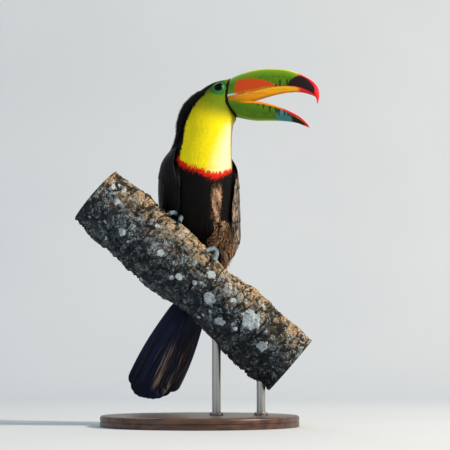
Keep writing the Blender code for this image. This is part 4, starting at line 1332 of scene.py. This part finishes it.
def foot_material():
    """Scaled skin: dry blue-grey plates with darker seams."""
    finish, tree, hues = new_material("Scaled foot skin", roughness=0.42)
    plates = node(tree, "ShaderNodeTexVoronoi", "place", per_mm(1.7), feature="DISTANCE_TO_EDGE")
    colour = painted(tree, hues.foot,
                     (hues.foot_pale, (node(tree, NOISE, "place", per_mm(5), 3), 0.4, 0.7, 0, 0.6)),
                     (hues.claw, (plates, 0.14, 0.0)))
    return dressed(finish, colour, node(tree, RANGE, plates, 0.0, 0.2), depth=0.22)


def claw_material():
    """Claw horn: black, smooth, paler at its root."""
    finish, tree, hues = new_material("Claw horn", roughness=0.28)
    colour = painted(tree, hues.claw, (hues.foot, ("tip", 0.25, 0.0, 0, 0.6)))
    return dressed(finish, colour, node(tree, NOISE, "place", per_mm(0.5), 3), depth=0.05)


# ---- perch ----

def make_perch():
    length = np.linalg.norm(PERCH_FOOT - PERCH_TOP)
    down, angle = grid(np.linspace(0, length, BARK_RINGS), circle(BARK_SIDES))
    flat = perch_points(down, angle)
    girth = np.stack((np.cos(angle), np.sin(angle)), -1) * PERCH_RADIUS

    def round_to(turn):
        """How far round the branch each place is from this angle, in mm."""
        return (np.remainder(angle - math.radians(turn) + np.pi, 2 * np.pi) - np.pi) * PERCH_RADIUS

    def folds(size, stretch, seed):
        """Wrinkles that run round the branch: their noise is drawn out across it."""
        bent = down + 5 * noise(flat, 26, seed + 9)
        drawn = np.concatenate((bent[..., None], girth / stretch), axis=-1)
        return 1 - np.abs(noise(drawn, size, seed, octaves=3) - 0.5) * 2

    swells, lumps, crumbs = (noise(flat, size, seed, octaves)
                             for size, seed, octaves in ((34, 1, 2), (11, 2, 3), (2.6, 4, 2)))
    wrinkles = eased(folds(size=9, stretch=2.6, seed=3), 0.9, 0.995)
    scars = eased(folds(size=30, stretch=4.5, seed=6), 0.95, 0.998)
    luck = np.random.default_rng(11)
    spots = list(LICHENS) + [(luck.uniform(4, length - 4), luck.uniform(0, 360), luck.uniform(1.2, 3.6))
                             for _ in range(SMALL_LICHENS)]
    crust = np.zeros_like(down)
    ragged = noise(flat, 3.5, seed=5, octaves=3)
    for place, turn, radius in spots:
        offset = np.hypot(down - place, round_to(turn))
        within = radius - offset - (ragged - 0.5) * radius * 1.1
        crust = np.maximum(crust, eased(within, 0, radius * 0.22))
    rough = eased(noise(flat, 19, seed=7, octaves=2), 0.42, 0.6)
    height = ((swells - 0.5) * 7 + (lumps - 0.5) * (3 + 4 * rough) - wrinkles * (1.3 + 1.1 * rough)
              - scars * 2 + (crumbs - 0.5) * (0.9 + 2.4 * rough) * (1 - crust))
    height = height * eased(down, -2, 3) * eased(-down, -length - 2, -length + 3) + crust * 0.35
    # The bark is kept low under the feet.
    held = np.max([np.exp(-((down - place) / 26) ** 4 - (round_to(turn) / 30) ** 4)
                   for place, turn in FEET.values()], axis=0)
    lowered = mixed(height, np.minimum(height, 0.1), np.clip(held * 2, 0, 1))
    height = np.where(held > 0.02, lowered, height)
    points, faces = closed_loft(perch_points(down, angle, height))
    faces = faces[:-2]
    numbers = {"crust": crust.ravel(), "fissure": (np.maximum(wrinkles, scars) * (1 - crust)).ravel(),
               "lump": (swells * 0.3 + lumps * 0.4 + crumbs * 0.3).ravel(), "wood": np.zeros(down.size),
               "ridge": np.cos(angle).ravel()}
    # Each end is a sawn face, slightly dished, with its bark standing round it.
    for first, inwards in ((0, 0.5), ((BARK_RINGS - 1) * BARK_SIDES, -0.5)):
        edge = points[first:first + BARK_SIDES]
        middle = edge.mean(axis=0)
        outer = range(first, first + BARK_SIDES)
        for share in (0.93, 0.88, 0.7, 0.5, 0.3, 0.12, 0.02):
            sawn = share < 0.9
            inner = range(len(points), len(points) + BARK_SIDES)
            ring = middle + (edge - middle) * share + perch_axes()[0] * inwards * sawn
            points = np.concatenate((points, ring))
            faces += [(outer[side - 1], outer[side], inner[side], inner[side - 1])
                      for side in range(BARK_SIDES)]
            outer = inner
            for key, value in (("crust", 0), ("fissure", 0), ("lump", share), ("wood", sawn), ("ridge", 0)):
                numbers[key] = np.append(numbers[key], np.full(BARK_SIDES, value, float))
        faces.append(tuple(outer))
    finish_piece(made("perch_bark", points, faces, bark_material(), numbers), "perch", slot="bark")


def bark_material():
    """Living bark: rough and grey-brown, with blue-grey lichen films and round crusts, and moss on its
    shaded side. Painted sunlight lays ochre and pale specks on its top ridge, and painted shade darkens its
    wrinkles, its hollows and its blue-grey underside. The sawn ends show growth rings."""
    finish, tree, hues = new_material("Bark with lichen", roughness=0.88, Specular_IOR_Level=0.25)
    fine, crumbs, grit, dust, flecks, plates, patches, clumps, blotches, films, stains, drifts, spots = (
        node(tree, NOISE, "place", per_mm(size), detail)
        for size, detail in ((2.4, 5), (2.4, 4), (0.9, 3), (1.7, 4), (1.3, 3), (5, 4), (8, 4), (8, 3),
                             (6, 3), (13, 5), (22, 4), (17, 2), (3, 4)))
    # Painted sunlight: ochre and pale specks along the top ridge, with dark crumbs between them.
    warmed = node(tree, "MULTIPLY_ADD", node(tree, NOISE, "place", per_mm(12), 3), 0.9, "ridge")
    sunny = node(tree, RANGE, warmed, 0.95, 1.4)
    bark = painted(tree, hues.bark, (hues.bark_worn_and_sunlit_pale, (plates, 0.42, 0.62)),
                   # Painted shade: the underside darkens to blue-grey, and the lichen film is thinned there.
                   (hues.bark_shade, ("ridge", 0.75, -0.1, 0, 0.9)),
                   (hues.bark_dark_and_crevice_shade, (stains, 0.47, 0.6, 0, 0.85)),
                   (hues.lichen_grey, (films, 0.5, 0.58, 0, 0.9), (fine, 0.42, 0.56, 0.1, 1),
                    ("ridge", -0.4, 0.3, 0.65, 1)),
                   (hues.bark_sunlit_ochre, sunny, (fine, 0.4, 0.52, 0.15, 1)),
                   (hues.bark_worn_and_sunlit_pale, sunny, (grit, 0.54, 0.62, 0, 0.7)),
                   (hues.bark_dark_and_crevice_shade, sunny, (crumbs, 0.46, 0.39, 0, 0.8)),
                   (hues.moss, ("ridge", 0.1, -0.45), (patches, 0.5, 0.62, 0, 0.8)),
                   # Painted shade in the hollows and wrinkles of the relief.
                   (hues.bark_dark_and_crevice_shade, ("lump", 0.47, 0.36, 0, 0.92)),
                   (hues.bark_dark_and_crevice_shade, ("fissure", 0.1, 0.7, 0, 0.92)),
                   (hues.lichen, (blotches, 0.58, 0.66, 0, 0.6), (drifts, 0.5, 0.62)),
                   (hues.bark_dark_and_crevice_shade, (dust, 0.44, 0.37, 0, 0.65)),
                   (hues.lichen, (flecks, 0.53, 0.58, 0, 0.75), (clumps, 0.53, 0.6)),
                   # More painted shade on the underside.
                   (hues.bark_shade, ("ridge", 0.45, -0.5, 0, 0.4)))
    crusts = painted(tree, hues.lichen, (hues.lichen_grey, (spots, 0.4, 0.62, 0, 0.8)))
    rings = node(tree, NOISE, node(tree, XYZ, "lump"), 34.0, 3)
    sawn = painted(tree, hues.sawn, (hues.sawn_dark, (rings, 0.42, 0.6)),
                   (hues.bark, (node(tree, NOISE, "place", per_mm(9), 4), 0.5, 0.75, 0, 0.5)))
    colour = painted(tree, bark, (crusts, ("crust", 0.2, 0.7, 0, 0.92)), (sawn, "wood"))
    return dressed(finish, colour, node(tree, "MULTIPLY_ADD", fine, 2.0, grit), depth=0.8)


# ---- stand ----

def turned_piece(name, profile, centre, surface, replaced, slot, sides):
    """A lathe-turned piece: profile is (radius, height) from its bottom middle to its top middle."""
    turn = circle(sides)
    radius, height = np.array(profile, float).T[..., None]
    points, faces = closed_loft(np.stack(np.broadcast_arrays(
        centre[0] + radius * np.cos(turn), centre[1] + radius * np.sin(turn), centre[2] + height), -1))
    piece = made(name, points, faces, surface)
    piece.data.set_sharp_from_angle(angle=math.radians(35))
    finish_piece(piece, replaced, slot=slot)


def make_stand():
    wood, steel = base_material(), steel_material()
    turn = np.linspace(0, np.pi / 2, 7)
    low = [(BASE_RADIUS - 1.2 + 1.2 * math.sin(a), 1.2 - 1.2 * math.cos(a)) for a in turn]
    high = [(BASE_RADIUS - 3 + 3 * math.cos(a), BASE_THICK - 3 + 3 * math.sin(a)) for a in turn]
    profile = [(0.4, 0), *low, (BASE_RADIUS, 6), (BASE_RADIUS - 0.8, 6.4), (BASE_RADIUS - 0.8, 7.2),
               (BASE_RADIUS, 7.6), *high, (60, BASE_THICK), (0.4, BASE_THICK)]
    turned_piece("base_turned", profile, (0, 0, 0), wood, "stand_base", "base_wood", 160)
    for rod, x in enumerate(ROD_X, 1):
        foot, top = (corner[2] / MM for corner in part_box(f"stand_rod_{rod}"))
        collar = BASE_THICK - foot
        profile = [(0.3, 0), (ROD_RADIUS, 0), (ROD_RADIUS, collar - 0.01), (ROD_RADIUS + 3.2, collar + 0.05),
                   (ROD_RADIUS + 3.4, collar + 0.4), (ROD_RADIUS + 3.4, collar + 3),
                   (ROD_RADIUS + 2.8, collar + 3.7), (ROD_RADIUS, collar + 4),
                   (ROD_RADIUS, top - foot - 0.3), (0.3, top - foot)]
        turned_piece(f"rod_{rod}", profile, (x, 0, foot), steel, f"stand_rod_{rod}", "rod_metal", 48)


def base_material():
    """Walnut, turned and oiled: long dark grain along X, with open pores."""
    finish, tree, hues = new_material("Oiled walnut", roughness=0.42, Coat_Weight=0.12, Coat_Roughness=0.3)
    drawn = node(tree, MAPPING, "place", None, None, (0.12, 1.0, 1.0))
    grain, pores = node(tree, NOISE, drawn, per_mm(7), 5), node(tree, NOISE, drawn, per_mm(0.9), 2)
    colour = painted(tree, hues.walnut, (hues.walnut_dark, (grain, 0.4, 0.65)),
                     (hues.walnut_dark, (pores, 0.6, 0.75, 0, 0.6)))
    return dressed(finish, colour, pores, depth=0.08, strength=0.5)


def steel_material():
    """Stainless steel rod, brushed round its girth."""
    finish, tree, hues = new_material("Brushed steel", roughness=0.34, Metallic=1.0)
    drawn = node(tree, MAPPING, "place", None, None, (0.06, 0.06, 1.0))
    lines = node(tree, NOISE, drawn, per_mm(0.5), 2)
    colour = painted(tree, hues.steel, (hues.steel_bright, lines))
    return dressed(finish, colour, lines, depth=0.03, strength=0.4)


# ---- stage ----

# Lights: place and width in metres, power in watts, colour.
LIGHTS = {"key": ((2.6, -1.0, 2.0), 0.5, 140, "#fff1dc"), "fill": ((-2.2, -2.4, 1.4), 2.4, 16, "#e6eeff"),
          "rim": ((-0.8, 2.0, 2.2), 1.2, 8, "#f2f6ff")}
LIGHT_AIM = Vector((0.03, 0, 0.28))
CAMERA_TARGET, CAMERA_DISTANCE, CAMERA_RISE = Vector((0.03175, 0, 0.254)), 2.0, math.radians(-5)


def make_stage():
    scene = bpy.context.scene

    def stood(name, data, place, way):
        """A lamp or camera at this place, which looks this way."""
        holder = bpy.data.objects.new(name, data)
        holder.location, holder.rotation_euler = place, way.to_track_quat("-Z", "Y").to_euler()
        scene.collection.objects.link(holder)
        return holder

    # The floor bends up into a backdrop: y and z across its bend, in metres.
    rows = [(-2.6, 0.0), (1.5, 0.0)] + [(1.5 + 0.9 * math.sin(a), 0.9 - 0.9 * math.cos(a))
                                        for a in np.linspace(0.1, math.pi / 2, 14)] + [(2.4, 4.2)]
    points = [(x / MM, y / MM, z / MM) for y, z in rows for x in (-4.5, 4.5)]
    finish, tree, _ = new_material("Matt studio paper", roughness=0.9, Specular_IOR_Level=0.2)
    clouds = node(tree, NOISE, "place", per_mm(400), 3)
    dressed(finish, painted(tree, linear("#d5dade"), (linear("#ccd2d8"), clouds)))
    faces = [face[::-1] for face in quads(len(rows), 2)]
    made("studio_floor", points, faces, finish, outward=False)
    scene.world = bpy.data.worlds.new("Studio")
    scene.world.use_nodes = True
    sky = scene.world.node_tree.nodes["Background"].inputs
    sky["Color"].default_value, sky["Strength"].default_value = linear("#dfe8f0"), 0.52
    scene.view_settings.view_transform = "Standard"
    for name, (place, size, power, colour) in LIGHTS.items():
        lamp = bpy.data.lights.new(name, "AREA")
        lamp.shape, lamp.size, lamp.energy, lamp.color = "DISK", size, power, linear(colour)[:3]
        stood(name, lamp, place, LIGHT_AIM - Vector(place))
    way = Vector((0, math.cos(CAMERA_RISE), -math.sin(CAMERA_RISE)))
    view = bpy.data.cameras.new("camera")
    view.lens, view.sensor_width = 126, 36
    scene.camera = stood("camera", view, CAMERA_TARGET - way * CAMERA_DISTANCE, way)


# ---- the add-on ----

def hue(name, code, description):
    return bpy.props.FloatVectorProperty(name=name, description=description, default=linear(code), size=4,
                                         min=0, max=1, subtype="COLOR")


class ToucanSizes(bpy.types.PropertyGroup):
    """Sizes of the plumage that may be changed without changing the solids."""

    tuft_spacing: bpy.props.FloatProperty(
        name="Tuft spacing", default=1.0, min=0.5, max=4.0, subtype="FACTOR",
        description="Distance between the tufts, as a share of the usual")
    tuft_length: bpy.props.FloatProperty(
        name="Tuft length", default=1.0, min=0.5, max=1.5, subtype="FACTOR",
        description="Length of the tufts, as a share of the usual")


class ToucanColours(bpy.types.PropertyGroup):
    """Colours of the bird, its perch and its stand."""

    black: hue("Black plumage", "#060505", "Mantle, wings, belly and tail")
    # Brown and fawn are painted sunlight on the black belly feathers.
    brown: hue("Brown plumage", "#7a5a43", "Worn barbs of the belly")
    fawn: hue("Fawn plumage", "#c9a583", "Bleached barbs of the belly")
    # Flight brown is worn barbs at every feather's edges, and painted sunlight on the left wing's front and
    # the tail's right; flight pale is painted sunlight only.
    flight_worn_and_sunlit_brown: hue("Flight feather brown", "#5a4a40", "Worn barbs of wing and tail feathers")
    flight_sunlit_pale: hue("Flight feather pale", "#b09a86", "Bleached barbs of wing and tail feathers")
    flight_sheen: hue("Flight feather sheen", "#0c1c3c", "Faint blue of wing and tail feathers")
    bib_low: hue("Lower bib", "#eedc10", "Bib over the breast")
    # The pale bib is painted sunlight on the bib's left.
    bib_sunlit_cream: hue("Pale bib", "#fbf6dc", "Sunlit left of the bib")
    # The upper bib's olive is partly the throat's own colour and partly painted shadow of the bill.
    upper_bib_and_bill_shadow: hue("Upper bib", "#7f7a03", "Bib on throat and cheek")
    face: hue("Face", "#6f8a10", "Greenish face in front of and under the eye")
    orbit: hue("Orbital skin", "#14782a", "Bare skin round the eye")
    lid: hue("Eyelid", "#2c9446", "Pale ring next to the eye")
    band: hue("Breast band", "#d8230c", "Red band under the bib")
    rump: hue("Rump", "#eeeade", "White coverts over the tail")
    vent: hue("Vent", "#c81810", "Red coverts under the tail")
    pupil: hue("Pupil", "#050404", "Pupil and rim of the lid")
    iris: hue("Iris", "#0e0906", "Dark brown iris")
    bill_green: hue("Bill green", "#507a00", "Ground colour of the bill")
    bill_dark_green: hue("Bill dark green", "#33560a", "Mottling of the bill")
    bill_lime: hue("Bill lime", "#7ba60c", "Lighter green towards culmen and keel")
    bill_yellow: hue("Culmen yellow", "#e6e04a", "Stripe along the top of the bill")
    bill_orange: hue("Bill orange", "#b94010", "Leaf on the upper bill's cheek")
    bill_tomium: hue("Cutting edge", "#f0860c", "Orange cutting edges")
    bill_pale: hue("Bill pale blue", "#a9c0cc", "Pale wedge at the bill's root")
    bill_streak: hue("Bill streaks", "#20330c", "Dark tooth-like streaks")
    bill_brown: hue("Bill brown", "#8a4a12", "Stain along the cutting edge")
    bill_teal: hue("Bill teal", "#3b7d86", "Blue-green field of the lower bill")
    bill_maroon: hue("Bill maroon", "#170a11", "Dark patch before the tip")
    bill_red: hue("Bill red", "#e0101c", "Tip and its edges")
    palate: hue("Palate", "#ffcf1c", "Inside of the bill")
    flesh: hue("Tongue", "#c8642c", "Tongue")
    foot: hue("Foot", "#6f8b99", "Scales of the foot")
    foot_pale: hue("Foot highlight", "#a9bcc4", "Paler scales")
    claw: hue("Claw", "#15130f", "Claws and seams between scales")
    bark: hue("Bark", "#5c4c3a", "Ground colour of the bark")
    # Pale bark is worn high places, and painted sunlight in specks on the top ridge.
    bark_worn_and_sunlit_pale: hue("Pale bark", "#a8977a", "Worn high places")
    # Dark bark is stains and dust, and painted shade in cracks and hollows.
    bark_dark_and_crevice_shade: hue("Dark bark", "#120f0c", "Cracks and hollows")
    # Shaded bark is painted shade on the underside.
    bark_shade: hue("Shaded bark", "#1f2b34", "Damp blue-grey underside")
    # Ochre bark is painted sunlight on the top ridge.
    bark_sunlit_ochre: hue("Ochre bark", "#c6a47a", "Crumbs along the sunny ridge")
    lichen: hue("Lichen", "#bcc8cb", "Round crusts")
    lichen_grey: hue("Grey lichen", "#82939c", "Thin bluish film")
    moss: hue("Moss", "#3d3f1f", "Growth on the shaded side")
    sawn: hue("Sawn wood", "#c8a878", "End grain")
    sawn_dark: hue("Growth rings", "#9a7548", "Late wood of the rings")
    steel: hue("Steel", "#a9a7a3", "Ground colour of the rods")
    steel_bright: hue("Bright steel", "#bdbbb7", "Brushed lines of the rods")
    walnut: hue("Walnut", "#5b3a26", "Ground colour of the base")
    walnut_dark: hue("Walnut grain", "#2e1c12", "Dark grain of the base")


class ToucanStep:
    """What every operator of this add-on shares."""

    bl_options = {"REGISTER", "UNDO"}


class TOUCAN_OT_skin(ToucanStep, bpy.types.Operator):
    """Make the one skin of body, neck and head"""

    bl_idname = "toucan.skin"
    bl_label = "Skin"

    def execute(self, context):
        make_skin()
        return {"FINISHED"}


class TOUCAN_OT_plumage(ToucanStep, bpy.types.Operator):
    """Grow the tufts of feather over the skin"""

    bl_idname = "toucan.plumage"
    bl_label = "Body plumage"

    def execute(self, context):
        make_plumage()
        return {"FINISHED"}


class TOUCAN_OT_wings(ToucanStep, bpy.types.Operator):
    """Lay the quills and coverts of both wings"""

    bl_idname = "toucan.wings"
    bl_label = "Wings"

    def execute(self, context):
        make_wings()
        return {"FINISHED"}


class TOUCAN_OT_tail(ToucanStep, bpy.types.Operator):
    """Lay the tail feathers"""

    bl_idname = "toucan.tail"
    bl_label = "Tail"

    def execute(self, context):
        make_tail()
        return {"FINISHED"}


class TOUCAN_OT_bill(ToucanStep, bpy.types.Operator):
    """Make the horn of both bills"""

    bl_idname = "toucan.bill"
    bl_label = "Bill"

    def execute(self, context):
        make_bill()
        return {"FINISHED"}


class TOUCAN_OT_tongue(ToucanStep, bpy.types.Operator):
    """Make the tongue"""

    bl_idname = "toucan.tongue"
    bl_label = "Tongue"

    def execute(self, context):
        make_tongue()
        return {"FINISHED"}


class TOUCAN_OT_eyes(ToucanStep, bpy.types.Operator):
    """Make the eyes and the bare skin round them"""

    bl_idname = "toucan.eyes"
    bl_label = "Eyes"

    def execute(self, context):
        make_eyes()
        return {"FINISHED"}


class TOUCAN_OT_feet(ToucanStep, bpy.types.Operator):
    """Make the scaled feet and their claws"""

    bl_idname = "toucan.feet"
    bl_label = "Feet"

    def execute(self, context):
        make_feet()
        return {"FINISHED"}


class TOUCAN_OT_perch(ToucanStep, bpy.types.Operator):
    """Make the cut branch with its bark"""

    bl_idname = "toucan.perch"
    bl_label = "Perch"

    def execute(self, context):
        make_perch()
        return {"FINISHED"}


class TOUCAN_OT_stand(ToucanStep, bpy.types.Operator):
    """Turn the base and the two rods"""

    bl_idname = "toucan.stand"
    bl_label = "Stand"

    def execute(self, context):
        make_stand()
        return {"FINISHED"}


class TOUCAN_OT_stage(ToucanStep, bpy.types.Operator):
    """Set up floor, lights, world and camera"""

    bl_idname = "toucan.stage"
    bl_label = "Stage"

    def execute(self, context):
        make_stage()
        return {"FINISHED"}


STEPS = (TOUCAN_OT_skin, TOUCAN_OT_plumage, TOUCAN_OT_wings, TOUCAN_OT_tail,
         TOUCAN_OT_bill, TOUCAN_OT_tongue, TOUCAN_OT_eyes, TOUCAN_OT_feet,
         TOUCAN_OT_perch, TOUCAN_OT_stand, TOUCAN_OT_stage)


class TOUCAN_PT_panel(bpy.types.Panel):
    """Lists the steps, sizes and colours of the model"""

    bl_idname = "TOUCAN_PT_panel"
    bl_label = "Keel-billed toucan"
    bl_space_type = "VIEW_3D"
    bl_region_type = "UI"
    bl_category = "Toucan"

    def draw(self, context):
        for one in STEPS:
            self.layout.operator(one.bl_idname)
        for group in (context.scene.toucan_sizes, context.scene.toucan_colours):
            column = self.layout.column()
            for name in group.bl_rna.properties.keys():
                if name not in ("rna_type", "name"):
                    column.prop(group, name)


CLASSES = (ToucanSizes, ToucanColours, *STEPS, TOUCAN_PT_panel)


def register():
    for one in CLASSES:
        bpy.utils.register_class(one)
    bpy.types.Scene.toucan_sizes = bpy.props.PointerProperty(type=ToucanSizes)
    bpy.types.Scene.toucan_colours = bpy.props.PointerProperty(type=ToucanColours)


def unregister():
    del bpy.types.Scene.toucan_colours, bpy.types.Scene.toucan_sizes
    for one in reversed(CLASSES):
        bpy.utils.unregister_class(one)


def main():
    register()
    steps = bpy.ops.toucan
    for make in (steps.skin, steps.plumage, steps.wings, steps.tail, steps.bill, steps.tongue, steps.eyes,
                 steps.feet, steps.perch, steps.stand, steps.stage):
        make()


if __name__ == "__main__":
    main()
